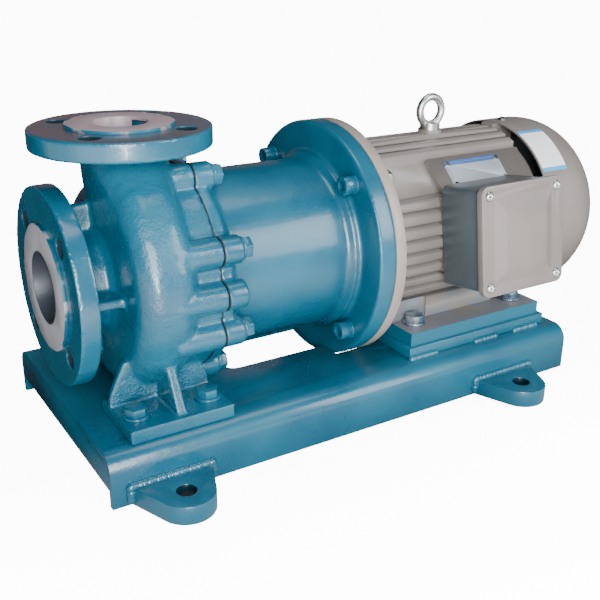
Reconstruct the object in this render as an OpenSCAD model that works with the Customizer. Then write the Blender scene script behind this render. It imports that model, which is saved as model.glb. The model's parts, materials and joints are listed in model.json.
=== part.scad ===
// Lined magnetic drive pump, close-coupled to a foot-and-flange motor on a bent-plate base.
// Millimetres, +Z up. The origin is the middle of the four anchor holes, on the base underside.
// +X runs along the shaft from the suction flange to the motor. The terminal box faces -Y.

/* [Base] */
// Height of the bent-plate base
base_h = 50; // [44:1:70]
// Width over the two sides of the base
base_w = 264; // [258:2:300]
// Thickness of the base plate
base_t = 6; // [4:0.5:8]
// Outside radius of the two long bends
base_bend_r = 17; // [12:1:22]
// Base length in front of the discharge axis
base_front = 79; // [70:1:110]
// Base length behind the motor packing
base_rear = 15; // [8:1:40]
// Height of the end plates' lower edge above the floor
apron_lift = 16; // [8:1:26]
// Width of the opening in the base top under the lantern
window_w = 64; // [50:2:76]
// Distance from the casing joint to that opening
window_reach = 38; // [34:1:60]
// Spacing of the anchor holes along the base
anchor_dx = 395; // [380:5:430]
// Diameter of the anchor holes
anchor_hole_d = 18; // [14:1:22]
// Radius of the rounded tip of an anchor lug
lug_tip_r = 26; // [22:1:30]
// Distance from the base side to the round of a lug's tip
lug_clear = 3; // [2:0.5:12]
// Width of an anchor lug where it is welded to the base
lug_root_w = 78; // [70:2:100]
// Thickness of an anchor lug
lug_t = 18; // [12:1:24]

/* [Pump] */
// Distance from the middle of the anchor holes to the discharge axis
pump_setback = 175; // [165:1:185]
// Height of the shaft above the base
shaft_height = 112; // [112:1:124]
// Distance from the discharge axis to the metal suction face
suction_reach = 80; // [78:1:95]
// Height of the metal discharge face above the shaft
discharge_height = 140; // [138:1:160]
// Bore of the suction lining
suction_bore = 65; // [58:1:68]
// Diameter of the suction flange
suction_flange_d = 185; // [178:1:200]
// Bolt circle of the suction flange
suction_pcd = 145; // [140:1:152]
// Bore of the discharge lining
discharge_bore = 50; // [40:1:54]
// Diameter of the discharge flange
discharge_flange_d = 165; // [158:1:180]
// Bolt circle of the discharge flange
discharge_pcd = 125; // [122:1:130]
// Diameter of the pipe bolt holes in both flanges
pipe_hole_d = 18; // [14:1:20]
// Thickness of both pipe flanges
pipe_flange_t = 18; // [14:1:20]
// Thickness of the lining in the casing
lining_t = 4; // [3:0.5:5]
// Diameter of the impeller
impeller_d = 125; // [112:1:128]
// Number of impeller vanes
vane_count = 6; // [4:1:7]
// Growth of the scroll from one quarter turn to the next
scroll_step = 8; // [4:0.5:9]
// Distance from the discharge axis to the casing joint
joint_reach = 47.5; // [46:0.5:60]
// Radius of the bolt circle of the casing joint
casing_bolt_r = 102; // [101:0.5:105]
// Diameter of the casing joint bolts
casing_bolt_d = 12; // [10:1:14]
// Length of the pump foot along the shaft
pump_foot_l = 100; // [92:1:110]
// Width over the pump feet
pump_foot_w = 242; // [226:2:246]
// Spacing of the pump foot bolts along the shaft
pump_foot_dx = 70; // [56:1:74]
// Spacing of the pump foot bolts across the shaft
pump_foot_dy = 192; // [186:2:200]
// Diameter of the foot bolts of pump and motor
foot_bolt_d = 12; // [10:1:12]

/* [Drive] */
// Distance from the casing joint to the motor flange face
lantern_len = 176; // [166:1:200]
// Outside radius of the lantern barrel
lantern_r = 87.5; // [86:0.5:92]
// Thickness of the lantern flange
lantern_flange_t = 19.5; // [15:0.5:24]
// Number of magnets in each ring
magnet_count = 12; // [8:2:16]
// Radius of the stationary pump shaft
pump_shaft_r = 12; // [10:0.5:13]

/* [Motor] */
// Height of the motor shaft above its feet
motor_h = 100; // [96:1:104]
// Diameter of the motor flange and of the lantern flange
motor_flange_d = 250; // [244:1:260]
// Bolt circle of the motor flange
motor_flange_pcd = 215; // [212:1:220]
// Thickness of the motor flange
motor_flange_t = 12; // [10:0.5:16]
// Distance from the motor flange face to the first foot bolt
motor_c = 63; // [60:1:70]
// Spacing of the motor foot bolts along the shaft
motor_b = 140; // [130:1:150]
// Spacing of the motor foot bolts across the shaft
motor_a = 160; // [154:1:166]
// Length of the finned motor frame
frame_len = 210; // [206:1:240]
// Radius of the fin tips
fin_tip_r = 99; // [96:0.5:100]
// Thickness of a cooling fin
fin_t = 9.5; // [5:0.5:10]
// Spacing of the cooling fins
fin_pitch = 13.5; // [12.5:0.5:15]
// Radius of the fan cowl
cowl_r = 103.5; // [102.5:0.5:106]
// Radius of the round back of the fan cowl
cowl_dome_r = 67; // [50:1:70]
// Thickness of the fan cowl sheet
cowl_t = 1.5; // [1:0.25:2]
// Number of fan blades
blade_count = 7; // [5:1:9]
// Width and height of the terminal cover
cover_w = 110; // [106:1:116]
// Depth of the terminal box
box_depth = 54; // [44:1:60]
// Tilt of the terminal box above the horizontal
box_tilt = 8; // [0:1:12]

/* [Hidden] */
$fn = 96;

// Clearances: pressed or bonded seats, plain seats, bolt holes and a piercing margin for cuts
seat = 0.05;
slip = 0.15;
bolt_play = 0.6;
pierce = 1;

// Colours of the finishes
enamel = "#2f7f93";
motor_grey = "#8d8b86";
bright_steel = "#b9bcbf";
dark_steel = "#5a5d60";
lining_white = "#eeeaec";

// Stations along the shaft, from the suction face to the fan end
shaft_z = base_h + shaft_height;
discharge_x = -pump_setback;
suction_x = discharge_x - suction_reach;
discharge_z = shaft_z + discharge_height;
joint_x = discharge_x + joint_reach;
motor_x = joint_x + lantern_len;
frame_x0 = motor_x + motor_flange_t;
frame_x1 = frame_x0 + frame_len;

// Fasteners: head widths across flats and head heights follow the thread diameter
function hex_w(d) = 1.5 * d;
function head_h(d) = 0.63 * d;
function washer_r(d) = d;
washer_t = 2.5;
nut_ratio = 0.85;

// Motor feet, packing plates and the length of the base
motor_foot_t = 14;
motor_foot_end = 22;
motor_foot_in = 56;
foot_wall_in = 50;
motor_foot_out = motor_a / 2 + 24;
motor_foot_x0 = motor_x + motor_c - motor_foot_end;
motor_foot_x1 = motor_x + motor_c + motor_b + motor_foot_end;
packing_lip = 5;
packing_t = shaft_height - motor_h;
base_x0 = discharge_x - base_front;
base_x1 = motor_foot_x1 + packing_lip + base_rear;
window_x0 = joint_x + window_reach;

// Pump feet
pump_foot_t = 13;
pump_foot_in = 50;
pump_foot_x = discharge_x - 4;
web_y = 62;
web_t = 8;
rib_t = 10;
rib_drop = 44;
rib_out = 84;
web_drop = 58;
web_heel = 12;
web_flank = 16;

// Scroll: the wall section of the volute and the radius of its first quarter
volute_x0 = discharge_x - 33;
volute_x1 = discharge_x + 24;
volute_round = 22;
scroll_core = 40;
scroll_r0 = 94;
neck_r = 39;
neck_waist_r = 36;
ring_r = 101;
boss_r = 13.5;
boss_nose_x = discharge_x + 1;
boss_relief = 0.3;
lantern_boss_l = 20;
joint_bolts = 8;
nozzle_r = 48;
nozzle_rib_r = 74;
nozzle_rib_t = 9;

// Pump chamber: an eccentric round space, its lining and the recess for the isolation can
chamber_r = 74;
chamber_shift = 5;
chamber_x0 = discharge_x - 16;
lip_t = 6;
recess_r = 88;
recess_x = discharge_x + 18;
can_flange_x = recess_x + lip_t;
can_liner_flange_t = 8;
seal_d = 3.5;
seal_r = 84.5;
raised_face_t = 3;
suction_face_r = 59;
discharge_face_r = 49.5;

// Magnetic coupling: radii from the stationary shaft outwards, then stations
bush_r = pump_shaft_r + 6;
yoke_r0 = 34;
yoke_r1 = 41;
inner_magnet_r = 48;
capsule_r = 52;
can_r0 = 53.5;
can_liner_t = 3;
can_shell_t = 3;
can_r1 = can_r0 + can_liner_t;
can_r2 = can_r1 + slip + can_shell_t;
outer_magnet_r0 = can_r2 + 1.5;
outer_magnet_r1 = outer_magnet_r0 + 6;
drum_r = outer_magnet_r1 + 7;
lantern_bore_r = 78;
motor_shaft_ext = 60;
shaft_tip_x = motor_x - motor_shaft_ext;
drum_web_x1 = shaft_tip_x - 3.5;
drum_web_x0 = drum_web_x1 - 8;
can_x1 = drum_web_x0 - 3;
can_floor_x = can_x1 - can_shell_t - 4;
socket_x = can_floor_x - 14;
capsule_x0 = discharge_x + 16;
capsule_x1 = socket_x - 1;
magnet_x0 = joint_x + 12;
magnet_x1 = capsule_x1 - 4;
hub_x1 = motor_x - 17;
hub_r = 28;
magnet_gap_deg = 3;

// Motor inside: shaft steps, 30 x 62 x 16 ball bearings, cores
shaft_r = 14;
bearing_r0 = 15;
bearing_r1 = 31;
bearing_w = 16;
ball_r = 4.75;
ball_pitch_r = 23;
ball_count = 9;
front_bearing_x = frame_x0 + 3.5;
rear_bearing_x = frame_x1 + 2;
frame_bore_r = 77.5;
core_r = 88;
rotor_r = 41.5;
air_gap = 0.5;
core_half_l = 60;
core_mid_x = (frame_x0 + frame_x1) / 2;
spigot_r = 90;
spigot_t = 4;
shield_register_t = 6;
shield_register_w = 7;
shield_hub_t = 11;
key_w = 8;
key_h = 7;
key_l = 45;
key_depth = 4;
key_end = 5;

// Fan end
cowl_x0 = frame_x1 + 8.5;
cowl_x1 = frame_x1 + 116.5;
cowl_dome_x = cowl_x1 - cowl_dome_r;
cowl_screw_x = frame_x1 + 24;
cowl_lug_x1 = frame_x1 + 32;
cowl_lug_in = 74;
cowl_screw_l = 14;
fan_x0 = cowl_lug_x1 + 1.5;
fan_disc_t = 3;
fan_blade_l = 26;
fan_r = 86;
fan_seat_r = 12.5;
fan_hub_r = 21;
fan_end_x = fan_x0 + 20;

// Terminal box on the side of the frame
box_x = motor_x + 130.5;
box_turn = 90 - box_tilt;
box_w = cover_w - 6;
box_wall = 4;
box_pad_r = fin_tip_r + 1;
box_rim_r = box_pad_r + box_depth;
gasket_t = 1;
cover_t = 7;
cover_panel_t = 5;
cover_screw_c = cover_w / 2 - 9.5;
cover_r0 = box_rim_r + gasket_t;
screw_r = 2.5;
lead_hole_r = 15;

// Lifting eye and nameplate
eye_x = motor_x + 136.5;
eye_seat_r = fin_tip_r + 4;
eye_collar_r = 11;
eye_collar_h = 7;
eye_ring_r = 15;
eye_wire_r = 4.2;
eye_shank_r = 4;
eye_h = 39;
plate_turn = 45;
plate_pad_r = 95;
plate_x = motor_x + 148;
plate_l = 77;
plate_w = 33;
plate_t = 0.8;
rivet_r = 1.6;

// Frames of reference

// Places children on the shaft axis; their +Z points away from it, up at 0 and to -Y at 90 degrees
module at_shaft(x, turn = 0) {
    translate([x, 0, shaft_z]) rotate([turn, 0, 0]) children();
}

// Revolves a profile of radius against station round the shaft axis
module turned() {
    translate([0, 0, shaft_z]) rotate([0, 90, 0]) rotate_extrude() children();
}

// A ring round the shaft axis
module ring(r0, r1, x0, x1) {
    turned() translate([r0, x0]) square([r1 - r0, x1 - x0]);
}

// A rod along X from the origin of its parent
module rod(r, l) {
    rotate([0, 90, 0]) cylinder(r = r, h = l);
}

// A square outline with round corners
module round_square(w, r) {
    square([w - 2 * r, w], center = true);
    square([w, w - 2 * r], center = true);
    for (sx = [-1, 1], sy = [-1, 1]) translate([sx * (w / 2 - r), sy * (w / 2 - r)]) circle(r);
}

module hex_prism(w, h) {
    cylinder(d = w / cos(30), h = h, $fn = 6);
}

// A hexagon bolt that stands on its seat at Z = 0
module hex_bolt(d, grip) {
    hex_prism(hex_w(d), head_h(d));
    translate([0, 0, -grip]) cylinder(d = d, h = grip + head_h(d) / 2);
}

module flat_washer(d) {
    difference() {
        cylinder(r = washer_r(d), h = washer_t);
        translate([0, 0, -pierce]) cylinder(d = d + 2 * slip, h = washer_t + 2 * pierce);
    }
}

// Base

// The inverted channel's outline, in Y and Z, drawn in from the outside by inset
module channel_outline(inset) {
    w = base_w - 2 * inset;
    h = base_h - inset;
    r = base_bend_r - inset;
    translate([-w / 2, 0]) square([w, h - r]);
    translate([-w / 2 + r, 0]) square([w - 2 * r, h]);
    for (s = [-1, 1]) translate([s * (w / 2 - r), h - r]) circle(r);
}

// Extrudes an outline of Y and Z along X
module along_x(x0, x1) {
    translate([x0, 0, 0]) rotate([90, 0, 90]) linear_extrude(x1 - x0) children();
}

module pump_foot_places() {
    for (sx = [-1, 1], sy = [-1, 1])
        translate([pump_foot_x + sx * pump_foot_dx / 2, sy * pump_foot_dy / 2, base_h]) children();
}

module motor_foot_places() {
    for (i = [0, 1], sy = [-1, 1])
        translate([motor_x + motor_c + i * motor_b, sy * motor_a / 2, base_h]) children();
}

// The opening in the base top, from its round corners in front to the flanges behind
module base_window(l) {
    corner = 14;
    side = window_w / 2 - corner;
    translate([0, -side]) square([l, 2 * side]);
    translate([corner, -window_w / 2]) square([l - corner, window_w]);
    for (s = [-1, 1]) translate([corner, s * side]) circle(corner);
}

// The lantern and motor flanges reach below the base top, so its opening widens to a slot for them
module base_channel() {
    slot_play = 1.5;
    slot_x0 = motor_x - lantern_flange_t - slot_play;
    slot_x1 = frame_x0 + slot_play;
    window_l = slot_x0 + pierce - window_x0;
    color(enamel) difference() {
        along_x(base_x0, base_x1) channel_outline(0);
        along_x(base_x0 - pierce, base_x1 + pierce) channel_outline(base_t);
        along_x(base_x0 - pierce, base_x1 + pierce)
            translate([-base_w / 2 + base_t, -pierce]) square([base_w - 2 * base_t, 2 * pierce]);
        at_shaft(slot_x0) rod(motor_flange_d / 2 + slot_play, slot_x1 - slot_x0);
        translate([window_x0, 0, base_h / 2]) linear_extrude(base_h) base_window(window_l);
        pump_foot_places() translate([0, 0, -base_h / 2]) cylinder(d = foot_bolt_d + bolt_play, h = base_h);
        motor_foot_places() translate([0, 0, -base_h / 2]) cylinder(d = foot_bolt_d + 2 * seat, h = base_h);
    }
}

module base_end_plates() {
    color(enamel) for (x = [base_x0, base_x1 - base_t]) along_x(x, x + base_t) intersection() {
        channel_outline(base_t + slip);
        translate([-base_w / 2, apron_lift]) square([base_w, base_h]);
    }
}

// Distance and half angle of the tangent from a root corner of a lug to its round tip
lug_reach = lug_tip_r + lug_clear;
lug_corner_d = norm([lug_root_w / 2, lug_reach]);
lug_corner_a = atan2(lug_root_w / 2, -lug_reach) - acos(lug_tip_r / lug_corner_d);

module anchor_lug() {
    tangent = [lug_tip_r * sin(lug_corner_a), lug_reach + lug_tip_r * cos(lug_corner_a)];
    linear_extrude(lug_t) difference() {
        union() {
            polygon([[-lug_root_w / 2, 0], [lug_root_w / 2, 0], tangent, [-tangent[0], tangent[1]]]);
            translate([0, lug_reach]) circle(lug_tip_r);
        }
        translate([0, lug_reach]) circle(d = anchor_hole_d);
    }
}

module anchor_lugs() {
    color(enamel) for (sx = [-1, 1], sy = [0, 1])
        translate([sx * anchor_dx / 2, 0, 0]) mirror([0, sy, 0])
            translate([0, base_w / 2, 0]) anchor_lug();
}

module motor_packing_plates() {
    plate_w = motor_foot_out - motor_foot_in + 2 * packing_lip;
    plate_l = motor_foot_x1 - motor_foot_x0 + 2 * packing_lip;
    mid_y = (motor_foot_in + motor_foot_out) / 2;
    color(enamel) difference() {
        for (s = [-1, 1])
            translate([motor_foot_x0 - packing_lip, s * mid_y - plate_w / 2, base_h])
                cube([plate_l, plate_w, packing_t]);
        motor_foot_places() translate([0, 0, -pierce])
            cylinder(d = foot_bolt_d + 2 * seat, h = packing_t + 2 * pierce);
    }
}

module pump_foot_bolts() {
    nut_room = nut_ratio * foot_bolt_d + 3;
    color(enamel) pump_foot_places() translate([0, 0, pump_foot_t + washer_t])
        hex_bolt(foot_bolt_d, pump_foot_t + washer_t + base_t + nut_room);
}

module pump_foot_washers() {
    color(enamel) pump_foot_places() translate([0, 0, pump_foot_t]) flat_washer(foot_bolt_d);
}

module pump_foot_nuts() {
    color(dark_steel) pump_foot_places() translate([0, 0, -base_t - nut_ratio * foot_bolt_d]) difference() {
        hex_prism(hex_w(foot_bolt_d), nut_ratio * foot_bolt_d);
        translate([0, 0, -pierce]) cylinder(d = foot_bolt_d + 2 * seat, h = foot_bolt_d + 2 * pierce);
    }
}

module motor_foot_bolts() {
    color(enamel) motor_foot_places() translate([0, 0, packing_t + motor_foot_t + washer_t])
        hex_bolt(foot_bolt_d, motor_foot_t + washer_t + packing_t + base_t);
}

module motor_foot_washers() {
    color(enamel) motor_foot_places() translate([0, 0, packing_t + motor_foot_t]) flat_washer(foot_bolt_d);
}

// Casing

// Wall section of the scroll at outer radius r, inset from its two flat sides
module scroll_section(r, corner_r, inset) {
    x0 = volute_x0 + inset;
    x1 = volute_x1 - inset;
    translate([scroll_core, x0]) square([r - corner_r - scroll_core, x1 - x0]);
    translate([scroll_core, x0 + corner_r]) square([r - scroll_core, x1 - x0 - 2 * corner_r]);
    for (x = [x0 + corner_r, x1 - corner_r]) translate([r - corner_r, x]) circle(corner_r);
}

// Four quarter turns about the corners of a small square, each one step larger than the last.
// The scroll starts beside the discharge on the +Y side and is widest on the -Y side.
module scroll_quarter(i, from, sweep, lap = 0, inset = 0) {
    corner = [[1, 1], [1, -1], [-1, -1], [-1, 1]][i] * scroll_step / 2;
    translate([0, 0, shaft_z]) rotate([0, 90, 0]) translate([corner[0], corner[1], 0])
        rotate([0, 0, from]) rotate_extrude(angle = sweep)
            scroll_section(scroll_r0 + i * scroll_step + lap, volute_round - 2 * lap, inset);
}

// The last quarter laps a little way over the third
module volute() {
    last_sweep = 52;
    seam_lap = 0.3;
    seam_turn = 2;
    scroll_quarter(0, 90, 90);
    scroll_quarter(1, 0, 90);
    scroll_quarter(2, 270, 90);
    scroll_quarter(3, 270 - last_sweep, last_sweep + seam_turn, seam_lap);
    ring(0, scroll_core + 2 * scroll_step, volute_x0, volute_x1);
    discharge_neck(270 - last_sweep);
}

// The swan neck swings from the end of the scroll to the middle of the discharge flange
module discharge_neck(scroll_end) {
    slice = 2;
    neck_top = discharge_z - pipe_flange_t;
    waist = 72;
    inset = 0.5;
    hull($fn = 32) {
        translate([discharge_x, 0, neck_top - slice]) cylinder(r = neck_r, h = 2 * slice);
        translate([discharge_x, 0, shaft_z + waist]) cylinder(r = neck_waist_r, h = slice);
        scroll_quarter(3, scroll_end + slice, slice, 0, inset);
    }
}

module casing_bolt_places(x) {
    for (i = [0 : joint_bolts - 1])
        at_shaft(x, (i + 0.5) * 360 / joint_bolts)
            translate([0, 0, casing_bolt_r]) rotate([0, 90, 0]) children();
}

// The joint has one more boss without a bolt, level with the shaft on the -Y side
module joint_bosses(x0, x1) {
    casing_bolt_places(x0) cylinder(r = boss_r, h = x1 - x0);
    at_shaft(x0, 90) translate([0, 0, casing_bolt_r]) rod(boss_r, x1 - x0);
}

module suction_nozzle() {
    flange_x1 = suction_x + pipe_flange_t;
    fillet = 5;
    turned() polygon([
        [0, suction_x], [suction_flange_d / 2, suction_x], [suction_flange_d / 2, flange_x1],
        [nozzle_r + fillet, flange_x1], [nozzle_r, flange_x1 + fillet], [nozzle_r, volute_x0 - fillet],
        [nozzle_r + 2 * fillet, volute_x0 + pierce], [0, volute_x0 + pierce]
    ]);
    for (turn = [0 : 90 : 270]) at_shaft(flange_x1 - 1, turn)
        translate([0, -nozzle_rib_t / 2, scroll_core]) cube([
            volute_x0 - flange_x1 + 2, nozzle_rib_t, nozzle_rib_r - scroll_core
        ]);
}

// One side of the foot: sole, long web with sloping flanks, and the sloping rib in the middle
module pump_foot(s) {
    sole_z = base_h + pump_foot_t;
    web_top = shaft_z - web_drop;
    rib_top = shaft_z - rib_drop;
    x0 = pump_foot_x - pump_foot_l / 2;
    x1 = pump_foot_x + pump_foot_l / 2;
    out = pump_foot_w / 2;
    mirror([0, s, 0]) {
        translate([x0, -out, base_h]) cube([pump_foot_l, out - pump_foot_in, pump_foot_t]);
        translate([0, -web_y, 0]) rotate([90, 0, 0]) linear_extrude(web_t) polygon([
            [x0, sole_z - 1], [x1, sole_z - 1], [x1 - 2, sole_z + web_heel],
            [x1 - web_flank, web_top], [x0 + web_flank, web_top], [x0 + 2, sole_z + web_heel]
        ]);
        along_x(discharge_x - rib_t / 2 - 2, discharge_x + rib_t / 2 - 2) polygon([
            [-web_y, sole_z - 1], [-out + 6, sole_z - 1], [-rib_out, rib_top], [-web_y, rib_top + 6]
        ]);
    }
}

// Space that the lining fills, grown by g
module lined_space(g) {
    at_shaft(suction_x - pierce) rod(suction_bore / 2 + lining_t + g, chamber_x0 - suction_x + pierce);
    at_shaft(chamber_x0 - lining_t - g) translate([0, -chamber_shift, 0])
        rod(chamber_r + lining_t + g, recess_x - chamber_x0 + lining_t + g);
    translate([discharge_x, 0, shaft_z])
        cylinder(r = discharge_bore / 2 + lining_t + g, h = discharge_height + pierce);
}

module pipe_holes(pcd, h) {
    for (i = [0 : 3]) rotate([0, 0, 45 + 90 * i]) translate([pcd / 2, 0, 0])
        cylinder(d = pipe_hole_d, h = h);
}

module pump_casing() {
    tapped_l = 30;
    color(enamel) difference() {
        union() {
            volute();
            ring(scroll_core, ring_r, volute_x1 - volute_round / 2, joint_x);
            joint_bosses(boss_nose_x, joint_x - boss_relief);
            suction_nozzle();
            translate([discharge_x, 0, discharge_z - pipe_flange_t])
                cylinder(d = discharge_flange_d, h = pipe_flange_t);
            for (s = [0, 1]) pump_foot(s);
        }
        lined_space(slip);
        at_shaft(recess_x) rod(recess_r, joint_x - recess_x + pierce);
        casing_bolt_places(joint_x - tapped_l)
            cylinder(d = casing_bolt_d + 2 * seat, h = tapped_l + pierce);
        at_shaft(suction_x - pierce) rotate([0, 90, 0]) pipe_holes(suction_pcd, pipe_flange_t + 2 * pierce);
        translate([discharge_x, 0, discharge_z - pipe_flange_t - pierce])
            pipe_holes(discharge_pcd, pipe_flange_t + 2 * pierce);
        pump_foot_places() translate([0, 0, -pierce])
            cylinder(d = foot_bolt_d + bolt_play, h = pump_foot_t + 2 * pierce);
    }
}

module casing_lining() {
    groove_w = seal_d + 2 * slip;
    color(lining_white) difference() {
        union() {
            intersection() {
                lined_space(0);
                ring(0, 2 * discharge_height, suction_x, recess_x);
                translate([suction_x, -discharge_height, 0])
                    cube([2 * suction_reach + joint_reach, 2 * discharge_height, discharge_z]);
            }
            ring(0, suction_face_r, suction_x - raised_face_t, suction_x);
            translate([discharge_x, 0, discharge_z]) cylinder(r = discharge_face_r, h = raised_face_t);
            ring(0, recess_r - slip, recess_x, recess_x + lip_t);
        }
        at_shaft(suction_x - 2 * raised_face_t)
            rod(suction_bore / 2, chamber_x0 - suction_x + 3 * raised_face_t);
        at_shaft(chamber_x0) translate([0, -chamber_shift, 0])
            rod(chamber_r, recess_x + lip_t - chamber_x0 + pierce);
        translate([discharge_x, 0, shaft_z])
            cylinder(d = discharge_bore, h = discharge_height + 2 * raised_face_t);
        ring(seal_r - groove_w / 2, seal_r + groove_w / 2, can_flange_x - seal_d - slip, joint_x);
    }
}

module casing_seal_ring() {
    color("#2a2a2a") turned() translate([seal_r, can_flange_x - seal_d / 2]) circle(d = seal_d);
}

// Wet end

support_x0 = discharge_x - 42;
support_x1 = discharge_x - 20;
thrust_t = 6;

module shaft_support() {
    arm_t = 6;
    color(lining_white) difference() {
        union() {
            ring(0, bush_r, support_x0, support_x1);
            intersection() {
                for (i = [0 : 2]) at_shaft(support_x0 + 2, 60 + 120 * i)
                    translate([0, -arm_t / 2, 0]) cube([support_x1 - support_x0 - 6, arm_t, suction_bore]);
                ring(0, suction_bore / 2 - slip, support_x0, support_x1);
            }
        }
        at_shaft(support_x0 + 5) rod(pump_shaft_r + seat, support_x1 - support_x0);
    }
}

module front_thrust_ring() {
    color(dark_steel) ring(pump_shaft_r + seat, bush_r, support_x1, support_x1 + thrust_t);
}

module pump_shaft() {
    color(dark_steel) at_shaft(support_x0 + 5) rod(pump_shaft_r, can_floor_x - 2 - support_x0 - 5);
}

bush_x0 = support_x1 + thrust_t + 0.5;

module impeller_vane() {
    vane_t = 3.5;
    eye_r = 34;
    bow_r = 40;
    bow_c = 36;
    intersection() {
        difference() {
            circle(impeller_d / 2 - 0.2);
            circle(eye_r);
        }
        difference() {
            translate([bow_c, 0]) circle(bow_r + vane_t / 2);
            translate([bow_c, 0]) circle(bow_r - vane_t / 2);
        }
        translate([0, -impeller_d]) square([impeller_d, impeller_d]);
    }
}

module impeller() {
    tip = impeller_d / 2;
    bore = bush_r + seat;
    hub_front = 8;
    back = capsule_x0 - discharge_x;
    back_rim = 5;
    back_t = 4;
    shroud_t = 3.5;
    shroud_rim = -5;
    eye_front = -15;
    eye_in = 30.5;
    eye_out = 34.5;
    color("#d9dcdf") {
        turned() translate([0, discharge_x]) polygon([
            [bore, -hub_front], [bore + 5, -hub_front], [bore + 10, 0], [bore + 18, back_rim - 1],
            [tip, back_rim], [tip, back_rim + back_t], [capsule_r - 2, back], [bore, back]
        ]);
        turned() translate([0, discharge_x]) polygon([
            [eye_in, eye_front], [eye_out, eye_front], [eye_out + 2.5, eye_front + shroud_t - 0.5],
            [tip, shroud_rim - shroud_t], [tip, shroud_rim], [eye_in + 2.5, -hub_front]
        ]);
        translate([discharge_x - hub_front + 0.2, 0, shaft_z]) rotate([0, 90, 0])
            linear_extrude(hub_front + back_rim + 0.3)
                for (i = [0 : vane_count - 1]) rotate([0, 0, i * 360 / vane_count]) impeller_vane();
    }
}

module impeller_bush() {
    color("#3c3f42") ring(pump_shaft_r + seat, bush_r, bush_x0, capsule_x1);
}

module inner_magnet_capsule() {
    color(lining_white) turned() difference() {
        translate([bush_r + seat, capsule_x0]) square([capsule_r - bush_r - seat, capsule_x1 - capsule_x0]);
        translate([yoke_r0 - slip, magnet_x0 - slip])
            square([inner_magnet_r - yoke_r0 + 2 * slip, magnet_x1 - magnet_x0 + 2 * slip]);
    }
}

module inner_yoke() {
    color(dark_steel) ring(yoke_r0, yoke_r1, magnet_x0, magnet_x1);
}

module magnet_ring(r0, r1) {
    step = 360 / magnet_count;
    for (i = [0 : magnet_count - 1])
        translate([0, 0, shaft_z]) rotate([0, 90, 0]) rotate([0, 0, i * step])
            rotate_extrude(angle = step - magnet_gap_deg)
                translate([r0, magnet_x0]) square([r1 - r0, magnet_x1 - magnet_x0]);
}

module inner_magnets() {
    color("#77797c") magnet_ring(yoke_r1 + seat, inner_magnet_r);
}

module isolation_liner() {
    x1 = can_x1 - can_shell_t;
    flange_x1 = can_flange_x + can_liner_flange_t;
    color(lining_white) turned() polygon([
        [0, x1], [can_r1, x1], [can_r1, flange_x1], [recess_r - slip, flange_x1],
        [recess_r - slip, can_flange_x], [can_r0, can_flange_x], [can_r0, can_floor_x],
        [bush_r + 1, can_floor_x], [bush_r + 1, socket_x], [pump_shaft_r + seat, socket_x],
        [pump_shaft_r + seat, can_floor_x - 2], [0, can_floor_x - 2]
    ]);
}

module isolation_shell() {
    x0 = can_flange_x + can_liner_flange_t;
    color("#4a4c4e") turned() polygon([
        [0, can_x1], [can_r2, can_x1], [can_r2, joint_x], [recess_r - slip, joint_x], [recess_r - slip, x0],
        [can_r1 + slip, x0], [can_r1 + slip, can_x1 - can_shell_t], [0, can_x1 - can_shell_t]
    ]);
}

// Lantern and magnetic drive

module lantern_bolt_places(x) {
    for (turn = [45 : 90 : 315])
        at_shaft(x, turn) translate([0, 0, motor_flange_pcd / 2]) rotate([0, 90, 0]) children();
}

module lantern() {
    flange_x0 = motor_x - lantern_flange_t;
    collar = 6;
    slope = 9;
    boss_x1 = joint_x + lantern_boss_l;
    color(enamel) difference() {
        union() {
            turned() polygon([
                [lantern_bore_r, joint_x], [ring_r, joint_x], [ring_r, boss_x1 - slope], [lantern_r, boss_x1],
                [lantern_r, flange_x0 - 2 * collar], [lantern_r + collar, flange_x0 - collar],
                [lantern_r + collar, flange_x0], [motor_flange_d / 2, flange_x0],
                [motor_flange_d / 2, motor_x], [lantern_bore_r, motor_x]
            ]);
            difference() {
                joint_bosses(joint_x, boss_x1);
                at_shaft(joint_x - pierce) rod(lantern_bore_r, lantern_len);
            }
        }
        at_shaft(motor_x - spigot_t - 1) rod(spigot_r + slip, spigot_t + 1 + pierce);
        casing_bolt_places(joint_x - pierce)
            cylinder(d = casing_bolt_d + bolt_play, h = lantern_boss_l + 2 * pierce);
        lantern_bolt_places(flange_x0 - pierce)
            cylinder(d = casing_bolt_d + bolt_play, h = lantern_flange_t + 2 * pierce);
    }
}

module casing_bolts() {
    engaged = 24;
    color(enamel) casing_bolt_places(joint_x + lantern_boss_l + washer_t)
        hex_bolt(casing_bolt_d, lantern_boss_l + washer_t + engaged);
}

module casing_bolt_washers() {
    color(enamel) casing_bolt_places(joint_x + lantern_boss_l) difference() {
        cylinder(d = 1.8 * casing_bolt_d, h = washer_t);
        translate([0, 0, -pierce]) cylinder(d = casing_bolt_d + 2 * slip, h = washer_t + 2 * pierce);
    }
}

screw_head_x = motor_x - lantern_flange_t - washer_t;

module lantern_screws() {
    grip = washer_t + lantern_flange_t + motor_flange_t + casing_bolt_d;
    socket_d = 10;
    color(enamel) lantern_bolt_places(screw_head_x) difference() {
        union() {
            translate([0, 0, -casing_bolt_d]) cylinder(d = 1.5 * casing_bolt_d, h = casing_bolt_d);
            cylinder(d = casing_bolt_d, h = grip);
        }
        translate([0, 0, -casing_bolt_d - pierce]) hex_prism(socket_d, casing_bolt_d / 2 + pierce);
    }
}

module lantern_spring_washers() {
    color(enamel) lantern_bolt_places(screw_head_x) difference() {
        cylinder(d = 1.7 * casing_bolt_d, h = washer_t);
        translate([0, 0, -pierce]) cylinder(d = casing_bolt_d + 2 * slip, h = washer_t + 2 * pierce);
    }
}

module lantern_nuts() {
    color(bright_steel) lantern_bolt_places(frame_x0) difference() {
        hex_prism(hex_w(casing_bolt_d), nut_ratio * casing_bolt_d);
        translate([0, 0, -pierce]) cylinder(d = casing_bolt_d + 2 * seat, h = 2 * casing_bolt_d);
    }
}

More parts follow.
